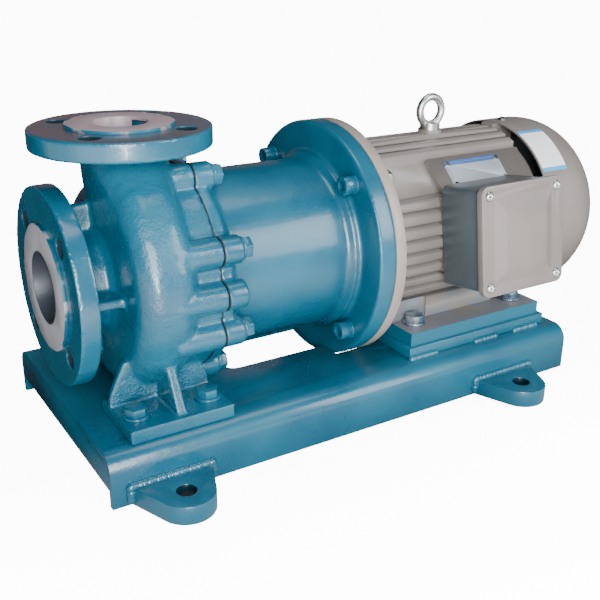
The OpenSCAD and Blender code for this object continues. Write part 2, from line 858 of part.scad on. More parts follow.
// Keyway and key sit at the top of the motor shaft extension
module key_space(g) {
    at_shaft(shaft_tip_x + key_end - g) translate([0, -key_w / 2 - g, shaft_r - key_depth - g])
        cube([key_l + 2 * g, key_w + 2 * g, key_h + 2 * g]);
}

module drive_magnet_drum() {
    rim_x = magnet_x0 - 4;
    bore_r = outer_magnet_r1 + seat;
    color("#6b4a3a") difference() {
        turned() polygon([
            [bore_r, rim_x], [drum_r, rim_x], [drum_r, drum_web_x1], [hub_r, drum_web_x1],
            [hub_r, hub_x1], [shaft_r + seat, hub_x1], [shaft_r + seat, drum_web_x0], [bore_r, drum_web_x0]
        ]);
        at_shaft(drum_web_x0 - pierce) translate([0, -key_w / 2 - slip, 0])
            cube([hub_x1 - drum_web_x0 + 2 * pierce, key_w + 2 * slip, shaft_r - key_depth + key_h + slip]);
    }
}

module drive_magnets() {
    color("#77797c") magnet_ring(outer_magnet_r0, outer_magnet_r1);
}

// Motor

shaft_mid_r = 20;
shaft_shoulder_r = 19;
rotor_x0 = core_mid_x - core_half_l;
rotor_x1 = core_mid_x + core_half_l;

module motor_shaft() {
    neck = bearing_r0 - seat;
    chamfer = 1;
    front_x1 = front_bearing_x + bearing_w;
    rear_x1 = rear_bearing_x + bearing_w;
    color(bright_steel) difference() {
        turned() polygon([
            [0, shaft_tip_x], [shaft_r - chamfer, shaft_tip_x], [shaft_r, shaft_tip_x + chamfer],
            [shaft_r, motor_x], [neck, motor_x], [neck, front_x1], [shaft_shoulder_r, front_x1],
            [shaft_shoulder_r, rotor_x0], [shaft_mid_r, rotor_x0], [shaft_mid_r, rotor_x1],
            [shaft_shoulder_r, rotor_x1], [shaft_shoulder_r, rear_bearing_x], [neck, rear_bearing_x],
            [neck, rear_x1], [fan_seat_r, rear_x1], [fan_seat_r, fan_end_x], [0, fan_end_x]
        ]);
        key_space(seat);
    }
}

module drive_key() {
    color(dark_steel) key_space(0);
}

module rotor_core() {
    ring_l = 12;
    color("#70767c") {
        ring(shaft_mid_r + seat, rotor_r, rotor_x0, rotor_x1);
        for (x = [rotor_x0 - ring_l, rotor_x1]) ring(shaft_mid_r + 8, rotor_r - 2, x, x + ring_l);
    }
}

module bearing_races(r0, r1) {
    for (x = [front_bearing_x, rear_bearing_x]) turned() difference() {
        translate([r0, x]) square([r1 - r0, bearing_w]);
        translate([ball_pitch_r, x + bearing_w / 2]) circle(ball_r + seat);
    }
}

module bearing_inner_rings() {
    color(bright_steel) bearing_races(bearing_r0, ball_pitch_r - 3);
}

module bearing_outer_rings() {
    color(bright_steel) bearing_races(ball_pitch_r + 3, bearing_r1 - seat);
}

module ball_places() {
    for (x = [front_bearing_x, rear_bearing_x], i = [0 : ball_count - 1])
        at_shaft(x + bearing_w / 2, i * 360 / ball_count) translate([0, 0, ball_pitch_r]) children();
}

module bearing_balls() {
    color(bright_steel) ball_places() sphere(ball_r);
}

module bearing_cages() {
    cage_w = 12;
    cage_t = 2;
    inset = (bearing_w - cage_w) / 2;
    color("#b08a4a") difference() {
        for (x = [front_bearing_x + inset, rear_bearing_x + inset])
            ring(ball_pitch_r - cage_t, ball_pitch_r + cage_t, x, x + cage_w);
        ball_places() sphere(ball_r + slip);
    }
}

module motor_flange_shield() {
    hub = bearing_r1 + shield_hub_t;
    register_r = frame_bore_r - seat;
    register_in = register_r - shield_register_w;
    register_x1 = frame_x0 + shield_register_t;
    seat_x1 = front_bearing_x + bearing_w;
    shaft_hole_r = bearing_r0 + 1;
    spigot_in = spigot_r - 10;
    color("#a39a90") difference() {
        turned() polygon([
            [shaft_hole_r, motor_x], [spigot_in, motor_x], [spigot_in, motor_x - spigot_t],
            [spigot_r, motor_x - spigot_t], [spigot_r, motor_x], [motor_flange_d / 2, motor_x],
            [motor_flange_d / 2, frame_x0], [register_r, frame_x0], [register_r, register_x1],
            [register_in, register_x1], [register_in, frame_x0], [hub, frame_x0], [hub, seat_x1],
            [bearing_r1, seat_x1], [bearing_r1, front_bearing_x], [shaft_hole_r, front_bearing_x]
        ]);
        lantern_bolt_places(motor_x - pierce)
            cylinder(d = casing_bolt_d + bolt_play, h = motor_flange_t + 2 * pierce);
    }
}

// Section of the finned frame in Y and Z: upright fins at top and bottom, level fins at the sides
module fin_section() {
    side_fins = 8;
    top_fins = 7;
    intersection() {
        circle(fin_tip_r);
        union() {
            for (i = [0 : top_fins - 1]) translate([(i - (top_fins - 1) / 2) * fin_pitch, 0])
                square([fin_t, 2 * fin_tip_r], center = true);
            for (i = [0 : side_fins - 1]) translate([0, (i - (side_fins - 1) / 2) * fin_pitch])
                square([2 * fin_tip_r, fin_t], center = true);
        }
    }
}

// One motor foot: sole, inner wall over its whole length, and a raised wall between the two bolts
module motor_foot(s) {
    sole_z = base_h + packing_t;
    wall_out = motor_a / 2 - 8;
    wall_top = shaft_z - 64;
    wall_step = 4.5;
    wall_relief = 1;
    bolt_room = 22;
    wall_x0 = motor_x + motor_c + bolt_room;
    wall_l = frame_x1 - wall_relief - motor_foot_x0;
    mirror([0, s, 0]) {
        translate([motor_foot_x0, -motor_foot_out, sole_z])
            cube([motor_foot_x1 - motor_foot_x0, motor_foot_out - motor_foot_in, motor_foot_t]);
        translate([wall_x0, -wall_out, sole_z])
            cube([motor_b - 2 * bolt_room, wall_out - foot_wall_in, wall_top - sole_z]);
        translate([motor_foot_x0, -wall_out + wall_step, sole_z])
            cube([wall_l, wall_out - wall_step - foot_wall_in, wall_top - sole_z]);
    }
}

module motor_frame() {
    rim_t = 12;
    rim_r = fin_tip_r + 3;
    facet_w = 40;
    facet_turn = 42;
    facet_drop = 6;
    facet_r0 = frame_bore_r + 4;
    pad_margin = 6;
    end_relief = 1;
    facet_l = frame_len - rim_t / 2 - end_relief;
    pad_x0 = plate_x - 56;
    pad_l = frame_x1 - end_relief - pad_x0;
    box_pad_w = 78;
    nut_room_r = 13;
    color(motor_grey) difference() {
        union() {
            ring(frame_bore_r - 2, core_r, frame_x0, frame_x1);
            translate([0, 0, shaft_z]) along_x(frame_x0 + rim_t / 2, frame_x1) fin_section();
            ring(frame_bore_r - 2, rim_r, frame_x0, frame_x0 + rim_t);
            at_shaft(frame_x0 + rim_t / 2, facet_turn) translate([0, -facet_w / 2, facet_r0])
                cube([facet_l, facet_w, plate_pad_r - facet_drop - facet_r0]);
            at_shaft(pad_x0, plate_turn) translate([0, -plate_w / 2 - pad_margin, facet_r0])
                cube([pad_l, plate_w + 2 * pad_margin, plate_pad_r - facet_r0]);
            at_shaft(box_x, box_turn) translate([0, 0, box_pad_r / 2])
                cube([box_w - 2 * box_wall, box_pad_w, box_pad_r], center = true);
            at_shaft(eye_x) cylinder(r = eye_collar_r + 2, h = eye_seat_r);
            for (s = [0, 1]) motor_foot(s);
        }
        at_shaft(frame_x0 - pierce) rod(frame_bore_r, frame_len + 2 * pierce);
        at_shaft(box_x, box_turn) cylinder(r = lead_hole_r, h = box_pad_r + pierce);
        at_shaft(eye_x) cylinder(r = eye_shank_r + slip, h = eye_seat_r + pierce);
        lantern_bolt_places(frame_x0 - pierce) cylinder(r = nut_room_r, h = rim_t + 4);
        motor_foot_places() cylinder(d = foot_bolt_d + bolt_play, h = packing_t + motor_foot_t + pierce);
    }
}

module stator_core() {
    color("#6f757b") ring(rotor_r + air_gap, frame_bore_r - seat, rotor_x0, rotor_x1);
}

module stator_windings() {
    overhang = 26;
    coil_r0 = rotor_r + 6;
    coil_r1 = frame_bore_r - 7;
    color("#a8562c") for (x = [rotor_x0 - overhang, rotor_x1]) ring(coil_r0, coil_r1, x, x + overhang);
}

module rear_shield() {
    hub = bearing_r1 + shield_hub_t;
    register_r = frame_bore_r - seat;
    register_in = register_r - shield_register_w;
    register_x0 = frame_x1 - shield_register_t;
    wall_x = rear_bearing_x + bearing_w;
    cap_x = wall_x + 4;
    disc_x1 = frame_x1 + 10;
    shaft_hole_r = fan_seat_r + 1;
    lug_w = 18;
    tapped_l = 24;
    color(motor_grey) difference() {
        union() {
            turned() polygon([
                [shaft_hole_r, wall_x], [bearing_r1, wall_x],
                [bearing_r1, frame_x1], [register_in, frame_x1],
                [register_in, register_x0], [register_r, register_x0],
                [register_r, frame_x1], [core_r, frame_x1],
                [core_r, disc_x1], [hub + 3, disc_x1], [hub, cap_x], [shaft_hole_r, cap_x]
            ]);
            intersection() {
                cowl_screw_turns(frame_x1 + 1) translate([0, -lug_w / 2, cowl_lug_in])
                    cube([cowl_lug_x1 - frame_x1 - 1, lug_w, cowl_r]);
                ring(0, cowl_r - cowl_t - slip, frame_x1, cowl_lug_x1);
            }
        }
        cowl_screw_turns(cowl_screw_x) translate([0, 0, cowl_r - tapped_l])
            cylinder(r = screw_r + seat, h = tapped_l + pierce);
    }
}

// The four places round the cowl where it is screwed to the rear shield
module cowl_screw_turns(x) {
    for (turn = [0 : 90 : 270]) at_shaft(x, turn) children();
}

module cooling_fan() {
    blade_t = 2.5;
    disc_r = 68;
    blade_x = fan_x0 + fan_disc_t;
    color("#2b2d30") difference() {
        union() {
            ring(0, fan_hub_r, fan_x0, fan_end_x - 1);
            ring(0, disc_r, fan_x0, blade_x);
            for (i = [0 : blade_count - 1]) at_shaft(0, i * 360 / blade_count)
                translate([0, blade_t / 2, 0]) rotate([90, 0, 0]) linear_extrude(blade_t) polygon([
                    [blade_x - 1, fan_hub_r - 3], [blade_x - 1, disc_r - 1], [blade_x + 4, fan_r],
                    [blade_x + fan_blade_l, fan_r - 6], [blade_x + fan_blade_l - 8, fan_hub_r + 20],
                    [blade_x + 8, fan_hub_r - 3]
                ]);
        }
        at_shaft(fan_x0 - pierce) rod(fan_seat_r + seat, fan_end_x - fan_x0 + 2 * pierce);
    }
}

// Profile of the cowl, drawn in from the outside by inset: a straight skirt and a round back
module cowl_profile(inset) {
    r = cowl_r - inset;
    dome = cowl_dome_r - inset;
    translate([0, cowl_x0]) square([r, cowl_dome_x - cowl_x0]);
    translate([0, cowl_x0]) square([cowl_r - cowl_dome_r, cowl_x1 - inset - cowl_x0]);
    intersection() {
        translate([cowl_r - cowl_dome_r, cowl_dome_x]) circle(dome);
        translate([0, cowl_x0]) square([r + pierce, cowl_x1 - cowl_x0]);
    }
}

module fan_cowl() {
    slots = 24;
    slot_w = 5;
    slot_in = 40;
    slot_l = 26;
    inner_slots = 8;
    inner_in = 12;
    inner_l = 20;
    color(motor_grey) difference() {
        turned() difference() {
            cowl_profile(0);
            cowl_profile(cowl_t);
            translate([-pierce, cowl_x0 - pierce]) square([cowl_r - cowl_t + pierce, 2 * pierce]);
        }
        for (i = [0 : slots - 1]) at_shaft(cowl_dome_x + 4, (i + 0.5) * 360 / slots)
            translate([0, -slot_w / 2, slot_in]) cube([cowl_dome_r, slot_w, slot_l]);
        for (i = [0 : inner_slots - 1]) at_shaft(cowl_x1 - 2 * cowl_t, i * 360 / inner_slots)
            translate([0, -slot_w / 2, inner_in]) cube([4 * cowl_t, slot_w, inner_l]);
        cowl_screw_turns(cowl_screw_x) cylinder(r = screw_r + slip, h = cowl_r + pierce);
    }
}

module pan_screw(r, l) {
    cylinder(r = 2 * r, h = 1.4 * r);
    translate([0, 0, -l]) cylinder(r = r, h = l + r);
}

module fan_cowl_screws() {
    color(dark_steel) cowl_screw_turns(cowl_screw_x)
        translate([0, 0, cowl_r]) pan_screw(screw_r, cowl_screw_l);
}

// Terminal box

module at_box(r) {
    at_shaft(box_x, box_turn) translate([0, 0, r]) children();
}

module box_corners() {
    for (sx = [-1, 1], sy = [-1, 1]) translate([sx * cover_screw_c, sy * cover_screw_c, 0]) children();
}

module terminal_box() {
    corner = 8;
    post_r = 6;
    floor_t = 5;
    tapped_l = 16;
    color("#5f666b") difference() {
        union() {
            at_box(box_pad_r) difference() {
                linear_extrude(box_depth) round_square(box_w, corner);
                translate([0, 0, floor_t]) linear_extrude(box_depth)
                    round_square(box_w - 2 * box_wall, corner - box_wall);
            }
            at_box(box_pad_r) box_corners() cylinder(r = post_r, h = box_depth);
        }
        at_box(box_rim_r - tapped_l) box_corners() cylinder(r = screw_r + seat, h = tapped_l + pierce);
        at_box(box_pad_r - pierce) cylinder(r = lead_hole_r, h = floor_t + 2 * pierce);
    }
}

module terminal_gasket() {
    corner = 8;
    band = 8;
    color("#222222") at_box(box_rim_r) linear_extrude(gasket_t) difference() {
        round_square(box_w, corner);
        round_square(box_w - 2 * band, corner - 2);
        box_corners() circle(screw_r + slip);
    }
}

// The raised panel of the cover: a flat top and four sloping sides
module cover_panel(w, h, rise) {
    slope = 12;
    intersection() {
        rotate([90, 0, 0]) linear_extrude(h, center = true)
            polygon([[-w / 2, 0], [w / 2, 0], [w / 2 - slope, rise], [slope - w / 2, rise]]);
        rotate([90, 0, 90]) linear_extrude(w, center = true)
            polygon([[-h / 2, 0], [h / 2, 0], [h / 2 - slope, rise], [slope - h / 2, rise]]);
    }
}

module terminal_cover() {
    rim = 9;
    panel_w = cover_w - 32;
    panel_h = cover_w - 26;
    color(motor_grey) at_box(cover_r0) difference() {
        union() {
            linear_extrude(cover_t) round_square(cover_w, rim);
            translate([0, 0, cover_t]) cover_panel(panel_w, panel_h, cover_panel_t);
        }
        translate([0, 0, -pierce]) linear_extrude(cover_t + pierce - 2)
            round_square(panel_w - 2 * box_wall, box_wall);
        translate([0, 0, -pierce]) box_corners() cylinder(r = screw_r + slip, h = cover_t + 2 * pierce);
    }
}

module terminal_cover_screws() {
    engaged = 10;
    color(bright_steel) at_box(cover_r0 + cover_t) box_corners()
        pan_screw(screw_r, cover_t + gasket_t + engaged);
}

board_w = 62;
board_h = 38;
board_t = 10;
board_r = box_pad_r + 5;
board_y = 26;
stud_r = 2.5;
stud_pitch = 18;

module terminal_board() {
    color("#7a2f22") at_box(board_r) difference() {
        translate([-board_w / 2, board_y - board_h / 2, 0]) cube([board_w, board_h, board_t]);
        translate([0, 0, -pierce]) stud_places() cylinder(r = stud_r + slip, h = board_t + 2 * pierce);
    }
}

module stud_places() {
    for (i = [-1 : 1], row = [-1, 1])
        translate([i * stud_pitch, board_y + row * board_h / 4, 0]) children();
}

module terminal_studs() {
    stand = 14;
    color("#c2a14d") at_box(board_r) stud_places() {
        cylinder(r = stud_r, h = board_t + stand);
        translate([0, 0, board_t]) hex_prism(8, 4);
    }
}

// Small pieces on the motor

module lifting_eye() {
    shank = 14;
    color(bright_steel) at_shaft(eye_x) {
        translate([0, 0, eye_seat_r]) cylinder(r = eye_collar_r, h = eye_collar_h);
        translate([0, 0, eye_seat_r - shank]) cylinder(r = eye_shank_r, h = shank + 1);
        translate([0, 0, eye_seat_r + eye_h - eye_ring_r - eye_wire_r]) rotate([90, 0, 0])
            rotate_extrude() translate([eye_ring_r, 0]) circle(eye_wire_r);
    }
}

module rivet_places() {
    edge = 4;
    for (sx = [-1, 1], sy = [-1, 1])
        translate([sx * (plate_l / 2 - edge), sy * (plate_w / 2 - edge), 0]) children();
}

module nameplate() {
    color(bright_steel) at_shaft(plate_x, plate_turn) translate([0, 0, plate_pad_r]) difference() {
        translate([-plate_l / 2, -plate_w / 2, 0]) cube([plate_l, plate_w, plate_t]);
        translate([0, 0, -pierce]) rivet_places() cylinder(r = rivet_r + slip, h = plate_t + 2 * pierce);
    }
}

module nameplate_rivets() {
    color(bright_steel) at_shaft(plate_x, plate_turn) translate([0, 0, plate_pad_r]) rivet_places() {
        cylinder(r = rivet_r, h = plate_t);
        translate([0, 0, plate_t]) cylinder(r = 2 * rivet_r, h = 1);
    }
}

base_channel();
base_end_plates();
anchor_lugs();
motor_packing_plates();
pump_foot_bolts();
pump_foot_washers();
pump_foot_nuts();
motor_foot_bolts();
motor_foot_washers();
pump_casing();
casing_lining();
shaft_support();
front_thrust_ring();
pump_shaft();
impeller();
impeller_bush();
inner_magnet_capsule();
inner_yoke();
inner_magnets();
isolation_liner();
isolation_shell();
casing_seal_ring();
lantern();
casing_bolts();
casing_bolt_washers();
lantern_screws();
lantern_spring_washers();
lantern_nuts();
drive_magnet_drum();
drive_magnets();
motor_shaft();
drive_key();
rotor_core();
bearing_inner_rings();
bearing_outer_rings();
bearing_balls();
bearing_cages();
motor_flange_shield();
motor_frame();
stator_core();
stator_windings();
rear_shield();
cooling_fan();
fan_cowl();
fan_cowl_screws();
terminal_box();
terminal_gasket();
terminal_cover();
terminal_cover_screws();
terminal_board();
terminal_studs();
lifting_eye();
nameplate();
nameplate_rivets();
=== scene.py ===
# %% [markdown]
# # A lined magnetic drive pump
# The frame brings every solid of the pump at its true place and size, in metres. This lesson dresses them: paint,
# cast and pressed surfaces, welds and small fasteners. Nothing is moved, because a place in CAD is a place here.

# %% Load the frame
import json
import math

import bmesh
import bpy
import numpy as np
from mathutils import Matrix, Vector, noise


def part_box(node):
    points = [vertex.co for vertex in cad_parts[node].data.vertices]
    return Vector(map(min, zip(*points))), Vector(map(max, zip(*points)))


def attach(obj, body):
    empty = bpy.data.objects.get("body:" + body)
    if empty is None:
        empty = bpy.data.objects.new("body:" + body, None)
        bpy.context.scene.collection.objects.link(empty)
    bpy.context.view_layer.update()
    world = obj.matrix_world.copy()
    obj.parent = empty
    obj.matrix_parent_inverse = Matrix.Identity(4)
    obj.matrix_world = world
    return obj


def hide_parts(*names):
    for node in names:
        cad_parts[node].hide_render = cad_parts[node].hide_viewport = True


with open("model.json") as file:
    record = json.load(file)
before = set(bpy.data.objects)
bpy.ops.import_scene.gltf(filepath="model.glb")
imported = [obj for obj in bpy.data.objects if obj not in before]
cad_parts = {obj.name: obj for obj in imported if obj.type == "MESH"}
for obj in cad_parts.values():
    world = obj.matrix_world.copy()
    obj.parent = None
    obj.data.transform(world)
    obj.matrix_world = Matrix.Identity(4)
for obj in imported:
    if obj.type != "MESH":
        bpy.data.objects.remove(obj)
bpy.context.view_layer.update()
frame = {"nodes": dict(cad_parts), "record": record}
nodes = frame["nodes"]
body_of = {n: body for body, names in frame["record"]["behaviour"]["bodies"].items() for n in names}
MM = 0.001
SHAFT_Z = 162 * MM

# %% [markdown]
# ## Camera
# The picture was taken with a normal lens, close enough for strong perspective: the near flange looks larger than
# the fan cowl. A camera that only looks right can't be trusted, so its place, turn and focal length were fitted to
# points whose real distances are known. A small shift puts the lens axis where the picture has it.

# %% Camera at the fitted place
PICTURE = 600
camera_at = Vector((-0.458178, -0.753234, 0.448448))
yaw, pitch, roll = 0.56137, -0.37326, 0.00851
focal_px = 880.735
axis_px = (299.08, 295.15)

ahead = Vector((math.sin(yaw) * math.cos(pitch), math.cos(yaw) * math.cos(pitch), math.sin(pitch)))
level = Vector((math.cos(yaw), -math.sin(yaw), 0))
above = level.cross(ahead)
right = level * math.cos(roll) + above * math.sin(roll)
up = above * math.cos(roll) - level * math.sin(roll)

lens = bpy.data.cameras.new("camera")
lens.sensor_width = 36
lens.lens = focal_px * lens.sensor_width / PICTURE
lens.shift_x = (PICTURE / 2 - axis_px[0]) / PICTURE
lens.shift_y = (axis_px[1] - PICTURE / 2) / PICTURE
lens.clip_start = 0.01
camera = bpy.data.objects.new("camera", lens)
camera.matrix_world = Matrix.Translation(camera_at) @ Matrix((right, up, -ahead)).transposed().to_4x4()
bpy.context.scene.collection.objects.link(camera)
bpy.context.scene.camera = camera
print("lens:", round(lens.lens, 2), "mm, shift:", round(lens.shift_x, 4), round(lens.shift_y, 4))

# %% [markdown]
# ## Node helpers
# Light, floor and finishes are all node trees. A few short functions add a node, feed a socket with a number or a
# link, and map one range to another, so that each tree below reads as one line for one idea.

# %% Nodes, sockets and sums
def add(tree, kind, **settings):
    node = tree.nodes.new(kind)
    for key, value in settings.items():
        setattr(node, key, value)
    return node


def feed(tree, socket, value):
    if isinstance(value, bpy.types.NodeSocket):
        tree.links.new(value, socket)
    else:
        socket.default_value = value


def rgb(*colour):
    return (*colour, 1.0)


def sums(tree, operation, a, b=0.0):
    node = add(tree, "ShaderNodeMath", operation=operation)
    feed(tree, node.inputs[0], a)
    feed(tree, node.inputs[1], b)
    return node.outputs[0]


def product(tree, first, *others):
    for other in others:
        first = sums(tree, "MULTIPLY", first, other)
    return first


# %% Ranges, mixes and clouds
def between(tree, value, low, high, to_low=0.0, to_high=1.0):
    node = add(tree, "ShaderNodeMapRange", interpolation_type="SMOOTHSTEP")
    limits = {"From Min": low, "From Max": high, "To Min": to_low, "To Max": to_high}
    for label, limit in limits.items():
        node.inputs[label].default_value = limit
    feed(tree, node.inputs["Value"], value)
    return node.outputs["Result"]


def tinted(tree, share, a, b):
    node = add(tree, "ShaderNodeMix", data_type="RGBA")
    for socket, value in ((0, share), (6, a), (7, b)):
        feed(tree, node.inputs[socket], value)
    return node.outputs[2]


def cloud(tree, place, scale, detail=2.0):
    node = add(tree, "ShaderNodeTexNoise")
    node.inputs["Detail"].default_value = detail
    feed(tree, node.inputs["Scale"], scale)
    tree.links.new(place, node.inputs["Vector"])
    return node.outputs["Fac"]


def place_of(tree):
    split = add(tree, "ShaderNodeSeparateXYZ")
    feed(tree, split.inputs[0], add(tree, "ShaderNodeTexCoord").outputs["Object"])
    return split.outputs


# %% [markdown]
# ## Light and floor
# Glossy enamel shows its surroundings more than its own colour. In the picture every face that looks up, back or to
# the left is dark, and every face that looks to the front is bright: the pump stood in a dark hall before an open
# door. So one tall softbox stands at the right in front and one behind the camera, a narrow one low beside the camera
# draws the line on the flange rim, and the room is bright in front, brown behind and dark above. A low, wide one
# behind lights the far side for other views, without a mirror image in the level faces. The picture's own ground is
# blank white, so only the camera sees floor and room as white. A white room all round would wash every dark tone out.

# %% Softboxes
def softbox(name, place, target, size, watts, tint):
    lamp = bpy.data.lights.new(name, "AREA")
    lamp.shape = "RECTANGLE"
    lamp.size, lamp.size_y = size
    lamp.energy = watts
    lamp.color = tint
    stand = bpy.data.objects.new(name, lamp)
    stand.location = place
    stand.rotation_euler = (Vector(target) - Vector(place)).to_track_quat("-Z", "Y").to_euler()
    bpy.context.scene.collection.objects.link(stand)
    return stand


COLD, WARM = (0.87, 0.95, 1.0), (1, 0.97, 0.95)
softbox("softbox_door", (1.2, -1.75, 1.08), (0.05, 0, 0.16), (0.8, 1.4), 37, COLD)
softbox("softbox_camera", (-0.8, -1.9, 0.8), (-0.1, 0, 0.2), (1.1, 1.3), 76, COLD)
softbox("softbox_top", (0.2, -0.2, 1.9), (0.1, 0, 0.2), (1.2, 0.8), 11, WARM)
strip = softbox("softbox_strip", (-0.55, -1.3, 0.2), (-0.175, 0, 0.29), (0.1, 0.4), 9, COLD)
strip.visible_diffuse = False
low_back = softbox("softbox_back", (0.35, 1.7, 0.32), (0.05, 0, 0.15), (1.8, 0.4), 50, COLD)
low_back.visible_camera = False
low_back.visible_glossy = False

# %% Room
WHITE_GROUND = 12.0
BROWN_BACK, BRIGHT_FRONT = rgb(0.2, 0.125, 0.12), rgb(0.62, 0.7, 0.78)
DARK_ABOVE, GREY_ABOVE = rgb(0.035, 0.06, 0.085), rgb(0.26, 0.31, 0.36)
world = bpy.data.worlds.new("hall")
bpy.context.scene.world = world
world.use_nodes = True
hall = world.node_tree
way = add(hall, "ShaderNodeSeparateXYZ")
feed(hall, way.inputs[0], add(hall, "ShaderNodeTexCoord").outputs["Generated"])
before = between(hall, way.outputs["Y"], 0.1, -0.6)
height = sums(hall, "SUBTRACT", way.outputs["Z"], product(hall, before, 0.32))
overhead = between(hall, height, 0.16, 0.42)
round_about = tinted(hall, before, BROWN_BACK, BRIGHT_FRONT)
walls = tinted(hall, overhead, round_about, tinted(hall, before, DARK_ABOVE, GREY_ABOVE))
seen = add(hall, "ShaderNodeLightPath").outputs["Is Camera Ray"]
feed(hall, hall.nodes["Background"].inputs["Color"], tinted(hall, seen, walls, rgb(*[WHITE_GROUND] * 3)))
print("room:", len(hall.nodes), "nodes")

# %% Tone of the paper floor, with painted shade under and behind the pump
paper = bpy.data.materials.new("white_paper")
paper.use_nodes = True
fibre = paper.node_tree
paper_shader = fibre.nodes["Principled BSDF"]
paper_shader.inputs["Roughness"].default_value = 0.9
paper_shader.inputs["Emission Color"].default_value = (1, 1, 1, 1)
spot = place_of(fibre)
grey = between(fibre, cloud(fibre, add(fibre, "ShaderNodeTexCoord").outputs["Object"], 3.0), 0, 1, 0.27, 0.31)
# The floor's colour falls to near black under and behind the pump: painted shade. Only the light that bounces onto the
# pump sees it.
feed(fibre, paper_shader.inputs["Base Color"], product(fibre, grey, between(fibre, spot["Y"], 0.02, -0.2, 0.04, 1.0)))

# %% Glow of the floor before the pump
in_front = between(fibre, spot["Y"], -0.13, -0.3)
slanting = sums(fibre, "ADD", spot["Y"], product(fibre, spot["X"], 0.75))
lit = sums(fibre, "MAXIMUM", in_front, between(fibre, slanting, -0.2, -0.55))
lit = product(fibre, lit, between(fibre, spot["X"], 0.2, 0.55, 1.3, 0.35))
near_pump = product(fibre, between(fibre, spot["Y"], -0.28, -0.48), between(fibre, spot["X"], 0.25, -0.05), 1.6)
seen = add(fibre, "ShaderNodeLightPath").outputs["Is Camera Ray"]
glow = sums(fibre, "ADD", sums(fibre, "ADD", lit, near_pump), product(fibre, seen, WHITE_GROUND))
feed(fibre, paper_shader.inputs["Emission Strength"], glow)
print("floor finish:", len(fibre.nodes), "nodes")

# %% Sheet of paper
SHEET_HALF, SHEET_Z = 6, -0.2 * MM
sheet = bpy.data.meshes.new("floor")
corners = [(-1, -1), (1, -1), (1, 1), (-1, 1)]
sheet.from_pydata([(x * SHEET_HALF, y * SHEET_HALF, SHEET_Z) for x, y in corners], [], [(0, 1, 2, 3)])
sheet.materials.append(paper)
floor = bpy.data.objects.new("floor", sheet)
bpy.context.scene.collection.objects.link(floor)
print("floor:", SHEET_HALF * 2, "m square")

# %% [markdown]
# ## Shared effects
# Three things return on almost every surface: the relief of sprayed paint over a casting, slow drifts of tone where
# the coat is thicker or thinner, and a tint on faces that look up. That tint is dust on the motor and boxes, a bluish
# grey on the enamel, and on the casing's flange top partly dust and partly a painted reflection of the brown hall
# behind. Each is built once as a node group that gives only values, and every material mixes them in its own amounts.
# The alternative, a texture picture for each material, would stretch over the castings and couldn't be tuned by one
# number.

# %% Paint relief, tone drift, and a tint on faces that look up for dust and painted reflection
def effect(name, inputs, outputs):
    group = bpy.data.node_groups.new(name, "ShaderNodeTree")
    for label, value in inputs.items():
        group.interface.new_socket(label, in_out="INPUT", socket_type="NodeSocketFloat").default_value = value
    for label in outputs:
        group.interface.new_socket(label, in_out="OUTPUT", socket_type="NodeSocketFloat")
    return group, add(group, "NodeGroupInput").outputs, add(group, "NodeGroupOutput").inputs


relief, given, out = effect("Paint relief", {"Peel": 0.5, "Grain": 0.2, "Waves": 0.2}, ["Height"])
place = add(relief, "ShaderNodeTexCoord").outputs["Object"]
peel = product(relief, cloud(relief, place, 420.0), given["Peel"])
grain = product(relief, cloud(relief, place, 1100.0, 5.0), given["Grain"])
waves = product(relief, cloud(relief, place, 70.0), given["Waves"])
relief.links.new(sums(relief, "ADD", sums(relief, "ADD", peel, grain), waves), out["Height"])

drift, given, out = effect("Tone drift", {"Scale": 9.0}, ["Cloud", "Speck"])
place = add(drift, "ShaderNodeTexCoord").outputs["Object"]
drift.links.new(between(drift, cloud(drift, place, given["Scale"], 4.0), 0.3, 0.7), out["Cloud"])
drift.links.new(between(drift, cloud(drift, place, 260.0, 3.0), 0.58, 0.72), out["Speck"])

# Mask of faces that look up, in patches. It carries dust, and on the casing's flange top also a painted reflection.
dust_and_reflection, given, out = effect("Settled dust", {"Reach": 0.75}, ["Mask"])
place = add(dust_and_reflection, "ShaderNodeTexCoord").outputs["Object"]
facing = add(dust_and_reflection, "ShaderNodeSeparateXYZ")
dust_and_reflection.links.new(add(dust_and_reflection, "ShaderNodeNewGeometry").outputs["Normal"], facing.inputs[0])
lying = between(dust_and_reflection, sums(dust_and_reflection, "SUBTRACT", facing.outputs["Z"], given["Reach"]), 0.0, 0.25)
patchy = between(dust_and_reflection, cloud(dust_and_reflection, place, 26.0, 5.0), 0.25, 0.75, 0.45, 1.0)
dust_and_reflection.links.new(product(dust_and_reflection, lying, patchy), out["Mask"])
print("effects:", [g.name for g in (relief, drift, dust_and_reflection)])

# %% [markdown]
# ## Finishes
# The pump wears a thick gloss enamel over rough iron, the motor a thinner satin paint. One function builds both:
# a deep and a light tone mixed by the drift, a tint on top that is dust and on the casing's flange top partly painted
# reflection, gloss that wanders a little, and relief through a bump. Bare metals, plastics and rubber come from a
# second function with the same effects.

# %% Paint over metal
def new_finish(name):
    finish = bpy.data.materials.new(name)
    finish.use_nodes = True
    return finish, finish.node_tree, finish.node_tree.nodes["Principled BSDF"]


def use(tree, group, **values):
    node = add(tree, "ShaderNodeGroup", node_tree=group)
    for label, value in values.items():
        node.inputs[label].default_value = value
    return node.outputs


def bumped(tree, shader, depth, **amounts):
    bump = add(tree, "ShaderNodeBump")
    bump.inputs["Strength"].default_value = 1.0
    bump.inputs["Distance"].default_value = depth
    tree.links.new(use(tree, relief, **amounts)["Height"], bump.inputs["Height"])
    tree.links.new(bump.outputs["Normal"], shader.inputs["Normal"])


